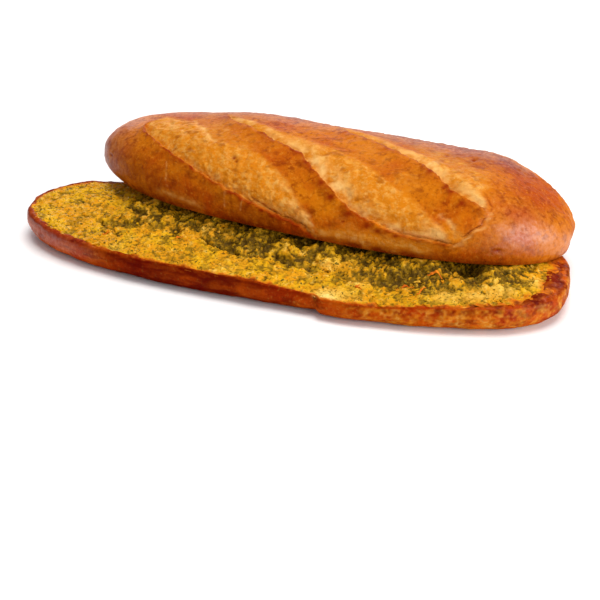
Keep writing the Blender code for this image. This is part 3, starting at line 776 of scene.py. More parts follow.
def makeTopCrust(material):
    mesh = bmesh.new()
    masks = addMasks(mesh, crustMasks)
    bmesh.ops.create_grid(mesh, x_segments=topHalf["columns"], y_segments=topHalf["rows"], size=1)
    for vertex in mesh.verts:
        even = vertex.co.x
        column = 0.35 * even + 0.65 * math.asin(min(1.0, max(-1.0, even))) * 2 / math.pi
        angle, ring = squareToDisc(column, vertex.co.y)
        angle = evenAngle(topHalf, angle)
        radius = 1.0 if vertex.is_boundary else math.sin(ring * math.pi / 2)
        x, y = planPoint(topHalf, angle, radius)
        vertex.co = (x, y, domeHeight(angle, radius, x))
    walls = growWall(mesh)
    mesh.normal_update()
    places = {}
    for vertex in mesh.verts:
        point, normal = vertex.co.copy(), vertex.normal.copy()
        wall = walls.get(vertex, 0.0)
        girth = girthOf(point.x, point.y) if wall == 0 else 1.0
        girth = math.copysign(abs(girth) + topHalf["wallGirth"] * wall, point.y)
        lift, lean, opened, searedAndShade, cream = slashAt(point.x, girth)
        crease, creasePale, creaseShade = creasesAt(point.x, girth)
        lift += topLift(point, girth, opened, cream) - crease
        up = (earUp - normal * normal.dot(earUp)).normalized()
        near = 1 - wall
        nose = math.exp(-((math.atan2(point.y, point.x) / 0.15) ** 2) - ((point.z - 0.012) / 0.009) ** 2)
        tip = Vector((topHalf["nose"] * nose * smoothStep((point.x - 0.140) / 0.015), 0.0, 0.0))
        places[vertex] = point + normal * lift * (0.3 + 0.7 * near) + up * lean + tip
        shades = topShades(point, girth, wall, (opened, searedAndShade, cream), (creasePale, creaseShade))
        for name, value in shades.items():
            vertex[masks[name]] = min(1.0, max(0.0, value))
    for vertex, place in places.items():
        vertex.co = place
        if walls.get(vertex) == 1.0:
            vertex.co.z = 0.0
    # the crust's cut edge, and the shallow bed that the crumb sits in
    thick = topHalf["crustThick"]
    for inset, height in ((thick, 0.0), (thick + 0.0003, topHalf["crumbInset"])):
        for vertex in growBorder(mesh):
            angle = planAngle(topHalf, vertex.co.x, vertex.co.y)
            x, y = insetPoint(topHalf, angle, 1.0, atEnds(topHalf["tuck"], angle) + inset)
            vertex.co = (x, y, height)
    bmesh.ops.holes_fill(mesh, edges=mesh.edges, sides=0)
    bmesh.ops.transform(mesh, matrix=topPlace, verts=mesh.verts)
    finishPiece("topCrust", mesh, material, "top_half")


topCrumb = dict(columns=270, rows=108, hollow=0.0013, inset=0.0005, large=0.0070, small=0.0030, fine=0.0016)


def makeTopCrumb(material):
    # the top half's cut face: torn crumb with butter soaked in, finished like the spread
    mesh = bmesh.new()
    masks = addMasks(mesh, crumbMasks)
    bmesh.ops.create_grid(mesh, x_segments=topCrumb["columns"], y_segments=topCrumb["rows"], size=1)
    for vertex in mesh.verts:
        angle, radius = squareToDisc(vertex.co.x, vertex.co.y)
        angle = evenAngle(topHalf, angle)
        inward = atEnds(topHalf["tuck"], angle) + topHalf["crustThick"] + topCrumb["inset"]
        x, y = insetPoint(topHalf, angle, radius, inward)
        point = Vector((x, y, 0.0))
        large, small = bubbles(point, topCrumb["large"], 2.0), bubbles(point, topCrumb["small"], 3.0)
        hollow = 1.15 - 0.9 * large - 0.45 * small + 0.25 * grain(point, topCrumb["fine"], 4.0)
        height = topCrumb["hollow"] * min(1.0, max(0.0, hollow)) * smoothStep((1 - radius) / 0.04)
        vertex.co = (x, y, 0.0 if vertex.is_boundary else height)
        # painted shade in the hollows
        vertex[masks["crumbShade"]] = 0.8 * smoothStep((hollow - 0.50) / 0.5)
        scorched = 0.6 + 0.8 * grain(point, 0.006, 5.0)
        vertex[masks["toasted"]] = 0.7 * smoothStep((radius - 0.92) / 0.08) * scorched
    for vertex in growBorder(mesh):
        vertex.co.z = topHalf["crumbInset"] - 0.0001
    bmesh.ops.holes_fill(mesh, edges=mesh.edges, sides=0)
    bmesh.ops.transform(mesh, matrix=topPlace, verts=mesh.verts)
    tree = BVHTree.FromBMesh(mesh)
    finishPiece("topCrumb", mesh, material, "top_half")
    return tree


# ---- the bottom half


bottomHalf = dict(
    length=0.3540, width=0.1192,
    taper=0.066,
    right=2.88, backLeft=2.32, frontLeft=2.62,
    rimHeight=0.0174, rimRise=0.0012, leftRise=0.0018,  # it rises to the back and at the left end
    dipX=0.052, dipReach=0.042, dipDepth=0.0030,  # lower stretch of the front cut edge
    bed=0.0112,  # flat under the spread
    edge=0.0028, edgeLeft=0.0068, edgeRight=0.0140,  # crust seen from above, round the spread
    footTuck=0.0060,  # how much more the left end's foot turns in
    stepX=0.0358, stepRun=0.007, stepOut=0.0034, stepFade=0.110,  # crack and step in the front crust
    gap=0.0004,  # left free under the top half
    around=900, sideRows=84, baseRows=10,
)
bottomRelief = dict(
    dent=0.0006, dentSize=0.016, lump=0.00030, lumpSize=0.0055, cell=0.00014, cellSize=0.0030,
    topFine=0.0003, topFineSize=0.0028, topLump=0.0006, topLumpSize=0.0055,  # on the cut edge
    crack=0.0009, crackWide=0.0012, crackAside=0.002,
)
bottomBakeAndShade = dict(
    least=0.12, front=0.86, frontFrom=-0.135, frontTo=0.070,  # painted shade, darkest in this stretch of the front
    bands=(0.22, 0.42, 0.62), bandWide=0.08, wander=0.05, wanderSize=0.020,  # shares of the way up of the bands: painted shade in the low and high ones, painted highlight in the middle one
    leftFrom=0.080, leftGloss=0.95,
    blotch=0.50, blotchFrom=0.040, glowFrom=0.030,
    ring=0.38, ringMore=0.40, ringMost=0.60, browned=0.6,  # on the right end's cut edge
    gloss=0.03, rightGloss=0.2,
)
baseShades = dict(opened=0.25, pale=0.0, bakedAndShade=0.50, searedAndShade=0.0, glossy=0.03)  # the flat base is evenly baked


def frontStep(x, y):
    # the front crust stands out beyond the crack
    half = bottomHalf
    beyond = x - half["stepX"]
    share = smoothStep(beyond / half["stepRun"]) * smoothStep(1 - beyond / half["stepFade"])
    return y - half["stepOut"] * share * smoothStep(-y / (half["width"] / 2))


def crustEdge(angle):
    # width of crust seen from above
    half = bottomHalf
    right = max(0.0, math.cos(angle)) ** 5
    frontLeft = max(0.0, -math.cos(angle - 0.6)) ** 4
    edge = half["edge"] + (half["edgeRight"] - half["edge"]) * right
    return edge + (half["edgeLeft"] - half["edge"]) * frontLeft


def bottomRing(angle, inset):
    x, y = insetPoint(bottomHalf, angle, 1.0, inset)
    return x, frontStep(x, y)


def topUnderside(x, y):
    # height of the top half's cut face over a point, both measured from the loaf's middle
    normal = topPlace.col[2]
    middle = topPlace.translation - loafMiddle
    return middle.z - (normal.x * (x - middle.x) + normal.y * (y - middle.y)) / normal.z


def rimHeight(x, y):
    half = bottomHalf
    across = y / (half["width"] / 2)
    dip = half["dipDepth"] * math.exp(-(((x - half["dipX"]) / half["dipReach"]) ** 4))
    height = half["rimHeight"] + half["rimRise"] * across - dip * smoothStep(-1.4 * across)
    height += half["leftRise"] * smoothStep((-x - 0.115) / 0.045)
    height += 0.0004 * noise.noise(Vector((x * 22, y * 22, 3.0)))
    return min(height, topUnderside(x, y) - half["gap"])


def bottomSection(angle):
    # the crust's section as insets and heights, from the foot over the cut edge to the bed
    edge = crustEdge(angle)
    rim = rimHeight(*bottomRing(angle, edge))
    narrow = bottomHalf["edge"]
    tuck = bottomHalf["footTuck"] * max(0.0, -math.cos(angle)) ** 3
    return (
        (0.0105 + tuck, 0.0), (0.0048 + 0.8 * tuck, 0.0012), (0.0016 + 0.5 * tuck, 0.0042),
        (0.2 * tuck, 0.50 * rim), (0.0005, 0.74 * rim),
        (0.0014, rim - 0.0012), (0.75 * narrow + 0.30 * (edge - narrow), rim), (edge, rim - 0.0006),
        (edge + 0.0020, bottomHalf["bed"]),
    )


def sectionPoint(section, share):
    # a smooth walk along the section, by Catmull-Rom
    at = share * (len(section) - 1)
    index = min(len(section) - 2, int(at))
    t = at - index
    p1, p2 = Vector(section[index]), Vector(section[index + 1])
    p0 = Vector(section[index - 1]) if index > 0 else 2 * p1 - p2
    p3 = Vector(section[index + 2]) if index + 2 < len(section) else 2 * p2 - p1
    squared = 2 * p0 - 5 * p1 + 4 * p2 - p3
    cubed = 3 * p1 - p0 - 3 * p2 + p3
    return 0.5 * (2 * p1 + (p2 - p0) * t + squared * t * t + cubed * t**3)


def crackAt(point):
    # 1 along the crack in the front crust
    aside = point.x - bottomHalf["stepX"] - bottomRelief["crackAside"]
    return bell(aside, bottomRelief["crackWide"]) * smoothStep(-point.y / 0.04)


def bottomLift(point, cutEdge):
    form = bottomRelief
    lift = form["dent"] * grain(point, form["dentSize"], 2.0)
    lift += form["lump"] * grain(point, form["lumpSize"], 4.0)
    lift += form["cell"] * (cellLumps(point, form["cellSize"], 3.0) - 0.4)
    onTop = form["topFine"] * grain(point, form["topFineSize"], 7.0)
    onTop += form["topLump"] * grain(point, form["topLumpSize"], 8.0)
    return lift + cutEdge * onTop - form["crack"] * crackAt(point)


def bottomShades(point, angle, share, cutEdge, split):
    # the masks of the crust; share is 0 at the foot and 1 where the crust meets the spread
    bakeAndShade = bottomBakeAndShade
    flat = Vector((point.x, point.y, 0.0))
    # painted shade: the front, which faces away from the light, is darkest in its middle, darker in a low and
    # a high band and lighter along a painted highlight in the middle; the bands wander up and down
    front = smoothStep(-math.sin(angle) / 0.5) * smoothStep((point.x - bakeAndShade["frontFrom"]) / 0.07)
    front *= smoothStep((bakeAndShade["frontTo"] - point.x) / 0.10)
    uneven = 0.95 + 0.35 * grain(point, 0.011, 5.0) + 0.25 * grain(point, 0.0050, 6.0)
    wander = bakeAndShade["wander"] * grain(flat, bakeAndShade["wanderSize"], 15.0)
    low, middle, high = (bell(share - at - wander, bakeAndShade["bandWide"]) for at in bakeAndShade["bands"])
    middle *= smoothStep(0.5 + 1.1 * grain(flat, 0.024, 16.0))
    dark = (bakeAndShade["least"] + bakeAndShade["front"] * front) * uneven * (1 - 0.50 * middle)
    dark = dark + (0.20 * low + 0.25 * high) * front + 0.12 * high
    # the left end is browner along its upper edge and shines
    left = smoothStep((-point.x - bakeAndShade["leftFrom"]) / 0.050)
    leftGloss = bakeAndShade["leftGloss"] * smoothStep((-point.x - 0.095) / 0.05)
    dark = dark * (1 - 0.45 * left) + left * (0.40 * high + 0.25 * middle)
    # the right part is blotched, more so higher up, and glows golden between the blotches
    wide = Vector((0.45 * point.x, 0.45 * point.y, point.z))
    fine = 0.9 * grain(point, 0.0018, 17.0)
    blotch = smoothStep(0.32 + 1.6 * grain(wide, 0.0060, 13.0) + 0.9 * grain(point, 0.0040, 14.0) + fine)
    higher = 0.4 + 0.6 * smoothStep((share - 0.35) / 0.3)
    dark += bakeAndShade["blotch"] * blotch * smoothStep((point.x - bakeAndShade["blotchFrom"]) / 0.040) * higher
    glow = smoothStep((point.x - bakeAndShade["glowFrom"]) / 0.060) * (1 - cutEdge)
    glow *= 0.42 + 1.0 * grain(point, 0.0060, 12.0) - fine
    # the browned ring on the right end's cut edge
    rightEnd = max(0.0, math.cos(angle)) ** 4
    nearCrumb = smoothStep((share - 0.72) / 0.12)
    ring = bakeAndShade["ring"] + bakeAndShade["ringMore"] * nearCrumb
    ring = rightEnd * (ring + 0.85 * grain(point, 0.0070, 9.0) + 0.45 * grain(point, 0.0032, 10.0))
    browned = bakeAndShade["browned"] * smoothStep((ring - 0.45) / 0.5)
    ring = min(bakeAndShade["ringMost"], ring)
    shine = leftGloss * smoothStep((share - 0.22) / 0.25) * (1 - 0.7 * cutEdge)
    rim = smoothStep((share - 0.70) / 0.12) * (0.35 + 0.6 * grain(point, 0.0045, 11.0))
    return dict(
        opened=0.6 * rim * (1 - 0.5 * rightEnd) * (1 - 0.7 * left) + glow + split,
        pale=0.25 * split * smoothStep((share - 0.55) / 0.15),
        bakedAndShade=(1 - 0.35 * cutEdge) * dark + cutEdge * (ring + 0.10 + 0.40 * left),
        searedAndShade=0.25 * cutEdge * smoothStep((share - 0.92) / 0.06) + browned * cutEdge,
        glossy=bakeAndShade["gloss"] + shine + bakeAndShade["rightGloss"] * rightEnd,
    )


def makeBottomCrust(material):
    half = bottomHalf
    rows = half["sideRows"] + half["baseRows"]
    mesh = bmesh.new()
    masks = addMasks(mesh, crustMasks)
    bmesh.ops.create_grid(mesh, x_segments=half["around"], y_segments=rows + 1, size=1)
    sections = {}
    kinds = {}  # each point's angle, and its share of the way up the side
    for vertex in mesh.verts:
        turn = round((vertex.co.x + 1) / 2 * half["around"]) % half["around"]
        row = round((vertex.co.y + 1) / 2 * (rows + 1))
        angle = evenAngle(half, 2 * math.pi * turn / half["around"] - math.pi)
        if turn not in sections:
            sections[turn] = bottomSection(angle)
        section = sections[turn]
        if row <= half["baseRows"]:
            # the flat base, from its middle out to the foot
            reach = row / half["baseRows"]
            x, y = bottomRing(angle, section[0][0])
            vertex.co = (x * reach, y * reach, 0.0)
            kinds[vertex] = (angle, -1.0)
        elif row <= rows:
            share = (row - half["baseRows"]) / half["sideRows"]
            inset, height = sectionPoint(section, share)
            vertex.co = (*bottomRing(angle, inset), max(0.0, height))
            kinds[vertex] = (angle, share)
        else:
            # the last row closes the bed in its middle
            vertex.co = (0.0, 0.0, half["bed"])
            kinds[vertex] = (angle, 2.0)
    mesh.normal_update()
    places = {}
    for vertex, (angle, share) in kinds.items():
        point = vertex.co.copy()
        side = 0.0 if share < 0 or share > 1 else smoothStep(share / 0.12) * smoothStep((0.97 - share) / 0.05)
        cutEdge = smoothStep((share - 0.60) / 0.10) if 0 <= share <= 1 else 0.0
        places[vertex] = point + vertex.normal * bottomLift(point, cutEdge) * side
        split = crackAt(point) * side * smoothStep((share - 0.45) / 0.25)
        foot = smoothStep(share / 0.12)
        for name, value in bottomShades(point, angle, share, cutEdge, split).items():
            base = baseShades[name]
            vertex[masks[name]] = base + (min(0.95, max(0.0, value)) - base) * foot
    for vertex, place in places.items():
        vertex.co = place
        vertex.co.z = max(0.0, vertex.co.z)
    bmesh.ops.translate(mesh, vec=loafMiddle, verts=mesh.verts)
    bmesh.ops.remove_doubles(mesh, verts=mesh.verts, dist=1e-6)
    finishPiece("bottomCrust", mesh, material, "bottom_half")


# ---- the herb butter and torn crumb


spread = dict(
    level=0.0004,  # over the crust's cut edge
    sideGap=0.0008,
    overRim=0.0018, overShare=0.70,  # how far the crumb's ragged edge reaches out over the crust
    sink=0.0013,  # how deep that edge goes into the crust
    tornRise=0.0018, tornRough=0.0020, tornFrom=-0.118, tornTo=0.160,  # the torn part behind the tear line
    tearDepth=0.0020, tearWide=0.0035,  # the groove along that line
    bulge=0.0009, bulgeSize=0.0026,
    cover=0.0016,  # least thickness over the bed
    toast=0.0034, toastRight=0.0120, toastLeft=0.0025,  # how wide its browned edge is
    columns=500, rows=190,
)
cragForm = dict(
    large=0.0026, largeSize=0.0085, medium=0.0018, mediumSize=0.0040, small=0.0011, smallSize=0.0022,
    crease=0.0018, creaseSize=0.0036, fineCrease=0.0012, fineCreaseSize=0.0019,
    grain=0.0005, grainSize=0.0014,
)
# behind this line the crumb is torn rather than cut
tearLine = ((-0.150, -0.008), (-0.120, -0.016), (-0.080, -0.012), (-0.049, -0.018),
            (-0.020, -0.028), (0.040, -0.031), (0.083, -0.035), (0.150, -0.029))
# lumps of torn crumb on the cut face: x, y, radius and height; the pits have a negative height
lumps = (
    (-0.140, 0.012, 0.016, 0.0018), (-0.099, 0.004, 0.012, 0.0034), (-0.084, 0.022, 0.013, 0.0052),
    (-0.059, 0.022, 0.014, 0.0064), (-0.044, 0.004, 0.010, 0.0044), (-0.013, -0.004, 0.012, 0.0046),
    (0.008, -0.017, 0.009, 0.0030), (0.034, -0.012, 0.010, 0.0036), (0.060, 0.010, 0.016, 0.0030),
    (0.080, -0.017, 0.010, 0.0030), (0.098, -0.015, 0.009, 0.0028), (0.134, -0.008, 0.012, 0.0034),
    (-0.030, 0.046, 0.014, 0.0040), (0.026, 0.048, 0.014, 0.0036), (0.090, 0.046, 0.014, 0.0030),
    (0.117, -0.010, 0.009, -0.0056), (-0.072, -0.010, 0.008, -0.0026), (-0.030, -0.016, 0.008, -0.0030),
)
# smooth places rich in butter: x, y, radius and strength
butterSpots = (
    (0.0440, -0.0590, 0.0075, 1.5), (0.0385, -0.0640, 0.0040, 1.4), (0.0560, -0.0520, 0.0080, 0.35),
    (0.1120, -0.0420, 0.0100, 0.55),
    (0.1289, -0.0353, 0.0080, 0.60), (0.1417, -0.0254, 0.0080, 0.55), (0.1575, -0.0145, 0.0060, 0.50),
    (-0.0950, -0.0440, 0.0060, 0.35), (-0.0200, -0.0520, 0.0080, 0.30), (0.0373, -0.0245, 0.0050, 0.40),
    (0.0469, -0.0189, 0.0045, 0.35), (0.0593, -0.0379, 0.0060, 0.40), (-0.0938, -0.0034, 0.0050, 0.40),
    (-0.0473, -0.0097, 0.0050, 0.45), (0.0089, -0.0188, 0.0040, 0.40),
)
# places under the top half's front edge, darkened with painted shade: x, y, radius and strength
shadeSpots = (
    (0.0877, -0.0265, 0.0140, 0.90), (0.0985, -0.0268, 0.0120, 0.85), (0.0740, -0.0240, 0.0120, 0.70),
    (0.0820, -0.0350, 0.0100, 0.60), (0.0950, -0.0370, 0.0090, 0.60), (0.0600, -0.0200, 0.0090, 0.50),
    (0.1065, -0.0157, 0.0080, 0.85), (0.1145, -0.0106, 0.0060, 1.00), (0.1340, -0.0100, 0.0100, 0.55),
    (0.0280, -0.0142, 0.0060, 0.50), (0.0136, -0.0293, 0.0060, 0.35), (-0.0050, -0.0271, 0.0100, 0.40),
    (-0.0243, -0.0223, 0.0100, 0.40), (-0.0969, -0.0080, 0.0045, 0.50), (-0.0650, -0.0150, 0.0080, 0.35),
)
# gaps torn between the lumps, darkened with painted shade: points of x and y, width and depth
fissures = (
    (((-0.1200, -0.0160), (-0.1130, -0.0215), (-0.1000, -0.0290)), 0.0012, 0.0022),
    (((-0.0490, -0.0170), (-0.0360, -0.0240), (-0.0210, -0.0290)), 0.0020, 0.0030),
    (((-0.1080, 0.0060), (-0.0950, -0.0040)), 0.0020, 0.0030),
    (((0.1080, -0.0120), (0.1160, -0.0130), (0.1230, -0.0170)), 0.0036, 0.0050),
    (((0.0060, -0.0270), (0.0180, -0.0310)), 0.0014, 0.0020),
)


def lumpHeight(x, y):
    total = 0.0
    for lumpX, lumpY, radius, height in lumps:
        away = math.hypot(x - lumpX, y - lumpY) / radius
        total += height * (1 - smoothStep(away / 1.5))
    return total


def nearSpots(places, x, y):
    # how strongly each of the places is felt at a point
    return [strength * math.exp(-(((x - spotX) ** 2 + (y - spotY) ** 2) / radius**2))
            for spotX, spotY, radius, strength in places]


def freeHeight(x, y):
    # how high the spread may reach over a point without meeting the top half
    local = topPlaceInverse @ (loafMiddle + Vector((x, y, topUnderside(x, y))))
    along, across, square = planShares(topHalf, local.x, local.y)
    radius = (abs(along) ** square + abs(across) ** square) ** (1 / square)
    return topUnderside(x, y) - bottomHalf["gap"] + 0.06 * max(0.0, radius - 1.01)


def fissuresAt(x, y):
    # depth of the gaps at a point, and how near the nearest one is
    point = Vector((x, y, 0.0))
    bend = noise.noise_vector(point / 0.0070) * 0.0032 + noise.noise_vector(point / 0.0025) * 0.0010
    deep, gap = 0.0, 0.0
    for line, width, depth in fissures:
        wide = width * max(0.3, 1 + 0.9 * grain(point, 0.0060, 22.0))
        near = bell(lineDistance(line, x + bend.x, y + bend.y), wide)
        deep += depth * near
        gap = max(gap, near)
    return deep, gap


def cragsAt(point, torn, shaded):
    # the crumb's own lumps, higher where it is torn and in the shaded places
    form = cragForm
    large = bubbles(point, form["largeSize"], 1.0)
    medium = bubbles(point, form["mediumSize"], 6.0)
    small = bubbles(point, form["smallSize"], 7.0)
    crease = abs(grain(point, form["creaseSize"], 12.0)) - 0.2
    fineCrease = abs(grain(point, form["fineCreaseSize"], 14.0)) - 0.2
    coarse = form["large"] * (large - 0.55) + form["medium"] * (medium - 0.55) + form["crease"] * crease
    fine = form["small"] * (small - 0.5) + form["fineCrease"] * fineCrease
    fine += form["grain"] * grain(point, form["grainSize"], 13.0)
    more = 0.0012 * (medium - 0.55) + 0.0008 * (small - 0.5) + 0.0010 * crease
    return (0.70 + 0.30 * torn) * coarse + (0.65 + 0.35 * torn) * fine + shaded * more


def spreadHeight(x, y, inside):
    # height of the spread's upper face, its painted shade (deep in gaps, in the torn part and in the shaded
    # places) and how buttery the point is, with painted highlight on its tips
    beyond = y - lineAt(tearLine, x)
    torn = smoothStep((beyond + 0.002) / 0.014) * smoothStep((x - spread["tornFrom"]) / 0.030)
    torn *= smoothStep((spread["tornTo"] - x) / 0.020)
    rough = noise.noise(Vector((x * 95, y * 95, 5.0))) + 0.5 * noise.noise(Vector((x * 190, y * 190, 9.0)))
    groove = bell(beyond, spread["tearWide"]) * smoothStep((x + 0.135) / 0.020)
    creamyAndLit = sum(nearSpots(butterSpots, x, y))
    shaded = max(nearSpots(shadeSpots, x, y))
    deep, gap = fissuresAt(x, y)
    crags = cragsAt(Vector((x, y, 0.0)), torn, shaded)
    height = spread["level"] + torn * spread["tornRise"] + (0.35 + 0.65 * torn) * spread["tornRough"] * rough
    height += lumpHeight(x, y) - spread["tearDepth"] * groove - deep + crags * (1 - 0.6 * min(1.0, creamyAndLit))
    # painted shade: the deeper, the darker; painted highlight: the tips are pale
    pit = (0.55 + 0.35 * torn) * smoothStep((0.0002 * torn - crags) / (0.0010 + 0.0004 * torn))
    pit += 0.5 * groove * smoothStep(0.3 - rough)
    pit = (pit + 0.26 * torn) * (1 - min(1.0, creamyAndLit)) + 0.85 * gap
    pit += shaded * (0.05 + 1.05 * smoothStep((0.0005 - crags) / 0.0010))
    creamyAndLit += (0.60 - 0.28 * torn) * smoothStep((crags - 0.0003) / 0.0010) * (1 - 0.7 * shaded)
    height = rimHeight(x, y) + (0.15 + 0.85 * inside) * height
    height = max(height, bottomHalf["bed"] + spread["cover"] + 0.2 * crags)  # never through the bed
    return min(height, freeHeight(x, y)), min(0.92, max(0.0, pit)), min(1.0, 0.62 * creamyAndLit)


def makeSpread(material):
    half = bottomHalf
    mesh = bmesh.new()
    masks = addMasks(mesh, crumbMasks)
    bmesh.ops.create_grid(mesh, x_segments=spread["columns"], y_segments=spread["rows"], size=1)
    angles = {}
    for vertex in mesh.verts:
        angle, radius = squareToDisc(vertex.co.x, vertex.co.y)
        angle = evenAngle(half, angle)
        outline = Vector((*planPoint(half, angle, 1.0), 0.0))
        ragged = 0.0020 * grain(outline, 0.0070, 1.0) + 0.0015 * grain(outline, 0.0026, 2.0)
        over = spread["overRim"] + spread["overShare"] * (crustEdge(angle) - half["edge"])
        edge = max(0.0017, crustEdge(angle) + spread["sideGap"] - over - ragged)
        x, y = insetPoint(half, angle, radius, edge)
        y = frontStep(x, y)
        away = (1 - radius) * outlineSpan(half, angle)
        right = max(0.0, math.cos(angle)) ** 4
        inside = smoothStep(away / (0.0042 + 0.0070 * right))
        height, pit, creamyAndLit = spreadHeight(x, y, inside)
        # crumb also bulges sideways, so that steep places stay lumpy
        bulge = noise.noise_vector(Vector((x, y, 1.6 * height)) / spread["bulgeSize"])
        bulge = bulge * spread["bulge"] * inside * inside
        height += 0.5 * min(0.0, bulge.z)
        vertex.co = (x + bulge.x, y + bulge.y, height - spread["sink"] * (1 - smoothStep(away / 0.0022)))
        if vertex.is_boundary:
            angles[vertex.co.copy().freeze()] = angle
        left = max(0.0, -math.cos(angle)) ** 4
        back = max(0.0, math.sin(angle)) * left
        reach = spread["toast"] + spread["toastRight"] * right + spread["toastLeft"] * (left + 4 * back)
        scorched = 0.75 + 0.8 * grain(vertex.co, 0.0055, 3.0) + 0.5 * grain(vertex.co, 0.0024, 4.0)
        toasted = smoothStep(1 - away / reach) * scorched * (1 - 0.35 * left)
        vertex[masks["crumbShade"]] = pit * (0.3 + 0.7 * inside)
        vertex[masks["toasted"]] = max(0.0, min(1.0, toasted))
        vertex[masks["creamyAndLit"]] = creamyAndLit
    for vertex in growBorder(mesh):
        angle = angles[vertex.co.copy().freeze()]
        x, y = bottomRing(angle, crustEdge(angle) + 0.0020 + spread["sideGap"])
        vertex.co = (x, y, half["bed"] + half["gap"])
    bmesh.ops.holes_fill(mesh, edges=mesh.edges, sides=0)
    bmesh.ops.translate(mesh, vec=loafMiddle, verts=mesh.verts)
    tree = BVHTree.FromBMesh(mesh)
    finishPiece("herbSpread", mesh, material, "herb_spread")
    return tree


# ---- herb flakes, crumbs and browned shreds on the spread


herbs = dict(
    specks=1000, speckSmall=0.00022, speckLarge=0.00045,
    flakes=700, under=500,  # on the spread, and on the top half's cut face
    flakeSmall=0.0005, flakeMore=0.0010, thick=0.00020,
    seed=11,
)
crumbs = dict(count=400, small=0.0003, large=0.0008, seed=5)
tufts = dict(count=30, small=0.0009, large=0.0018, seed=8)
shredForm = dict(wide=0.0013, sway=0.0012, thick=0.0004, clear=0.0005, seed=3)
# browned shreds: x, y, turn and length
shreds = ((0.086, -0.036, 0.5, 0.010), (0.101, -0.024, 0.1, 0.009), (0.096, -0.040, 1.0, 0.010),
          (-0.062, -0.022, 1.2, 0.005), (-0.108, -0.031, 0.2, 0.004), (0.060, -0.043, 2.0, 0.004))


def dropOnto(tree, x, y):
    # point and normal of the spread straight under a place over the loaf
    return tree.ray_cast(loafMiddle + Vector((x, y, 0.2)), Vector((0, 0, -1)))[:2]


def spreadSpot(tree, draw, reach=0.975):
    # a random place on the part of the spread that isn't under the top half
    while True:
        angle = draw.uniform(-math.pi, math.pi)
        x, y = planPoint(bottomHalf, angle, reach * math.sqrt(draw.random()))
        if y > 0.006 and x > -0.125:
            continue
        y = frontStep(x, y * (1 - crustEdge(angle) / (bottomHalf["width"] / 2)))
        x *= 1 - crustEdge(angle) / (bottomHalf["length"] / 2)
        point, normal = dropOnto(tree, x, y)
        if point is not None:
            return point, normal


def underSpot(tree, draw):
    # a random place on the top half's cut face, behind the bottom half
    while True:
        x, y = planPoint(topHalf, draw.uniform(-math.pi, math.pi), 0.95 * math.sqrt(draw.random()))
        place = topPlace @ Vector((x, y, 0.0))
        if place.y - loafMiddle.y > 0.045:
            point, normal = tree.ray_cast(Vector((place.x, place.y, -0.1)), Vector((0, 0, 1)))[:2]
            if point is not None:
                return point, normal


def layFlat(point, normal, turn, tilt, lift):
    face = normal.to_track_quat("Z", "Y").to_matrix().to_4x4()
    turned = Matrix.Rotation(turn, 4, "Z") @ Matrix.Rotation(tilt, 4, "X")
    return Matrix.Translation(point + normal * lift) @ face @ turned


def gather(count, addOne, batchSize=50):
    # many small pieces in one mesh, made in short batches because operators slow down in a long one
    whole = bmesh.new()
    for start in range(0, count, batchSize):
        batch = bmesh.new()
        for index in range(start, min(count, start + batchSize)):
            addOne(batch, index)
        data = bpy.data.meshes.new("batch")
        batch.to_mesh(data)
        batch.free()
        whole.from_mesh(data)
        bpy.data.meshes.remove(data)
    return whole


def addFlake(mesh, draw, spot, length, width):
    flake = bmesh.ops.create_cone(
        mesh, cap_ends=True, segments=5, radius1=1, radius2=0.75, depth=herbs["thick"])["verts"]
    bend = draw.uniform(-0.5, 0.5)
    for vertex in flake:
        x = vertex.co.x * length * draw.uniform(0.75, 1.2)
        vertex.co = (x, vertex.co.y * width * draw.uniform(0.6, 1.3), vertex.co.z + bend * abs(x))
    place = layFlat(*spot, draw.uniform(0, math.pi), draw.uniform(-0.45, 0.45), 0.00004)
    bmesh.ops.transform(mesh, matrix=place, verts=flake)


def makeHerbs(spreadTree, crumbTree, material):
    draw = random.Random(herbs["seed"])

    def addOne(mesh, index):
        if index < herbs["specks"]:
            size = draw.uniform(herbs["speckSmall"], herbs["speckLarge"])
            addFlake(mesh, draw, spreadSpot(spreadTree, draw), size, size)
            return
        length = herbs["flakeSmall"] + herbs["flakeMore"] * draw.random() ** 2.2
        onSpread = index < herbs["specks"] + herbs["flakes"]
        spot = spreadSpot(spreadTree, draw) if onSpread else underSpot(crumbTree, draw)
        addFlake(mesh, draw, spot, length, length * draw.uniform(0.35, 0.7))

    mesh = gather(herbs["specks"] + herbs["flakes"] + herbs["under"], addOne)
    finishPiece("herbFlakes", mesh, material, "herb_spread", 40)


def makeCrumbs(tree, material):
    draw = random.Random(crumbs["seed"])

    def addOne(mesh, index):
        masks = addMasks(mesh, ("crumbShade",))
        point, normal = spreadSpot(tree, draw)
        size = crumbs["small"] + (crumbs["large"] - crumbs["small"]) * draw.random() ** 2
        # a darker tone at random, and painted shade that grows towards the back, under the top half
        shade = draw.choice((0.0, 0.0, 0.1, 0.4)) + 0.25 * smoothStep((point.y - loafMiddle.y + 0.035) / 0.03)
        grains = bmesh.ops.create_icosphere(mesh, subdivisions=1, radius=size)["verts"]
        squash = draw.uniform(0.55, 0.9)
        for vertex in grains:
            vertex.co *= draw.uniform(0.7, 1.25)
            vertex.co.z *= squash
            vertex[masks["crumbShade"]] = shade
        place = layFlat(point, normal, draw.uniform(0, math.pi), 0, 0.15 * size)
        bmesh.ops.transform(mesh, matrix=place, verts=grains)

    mesh = gather(crumbs["count"], addOne)
    finishPiece("crumbGrains", mesh, material, "herb_spread", 180)


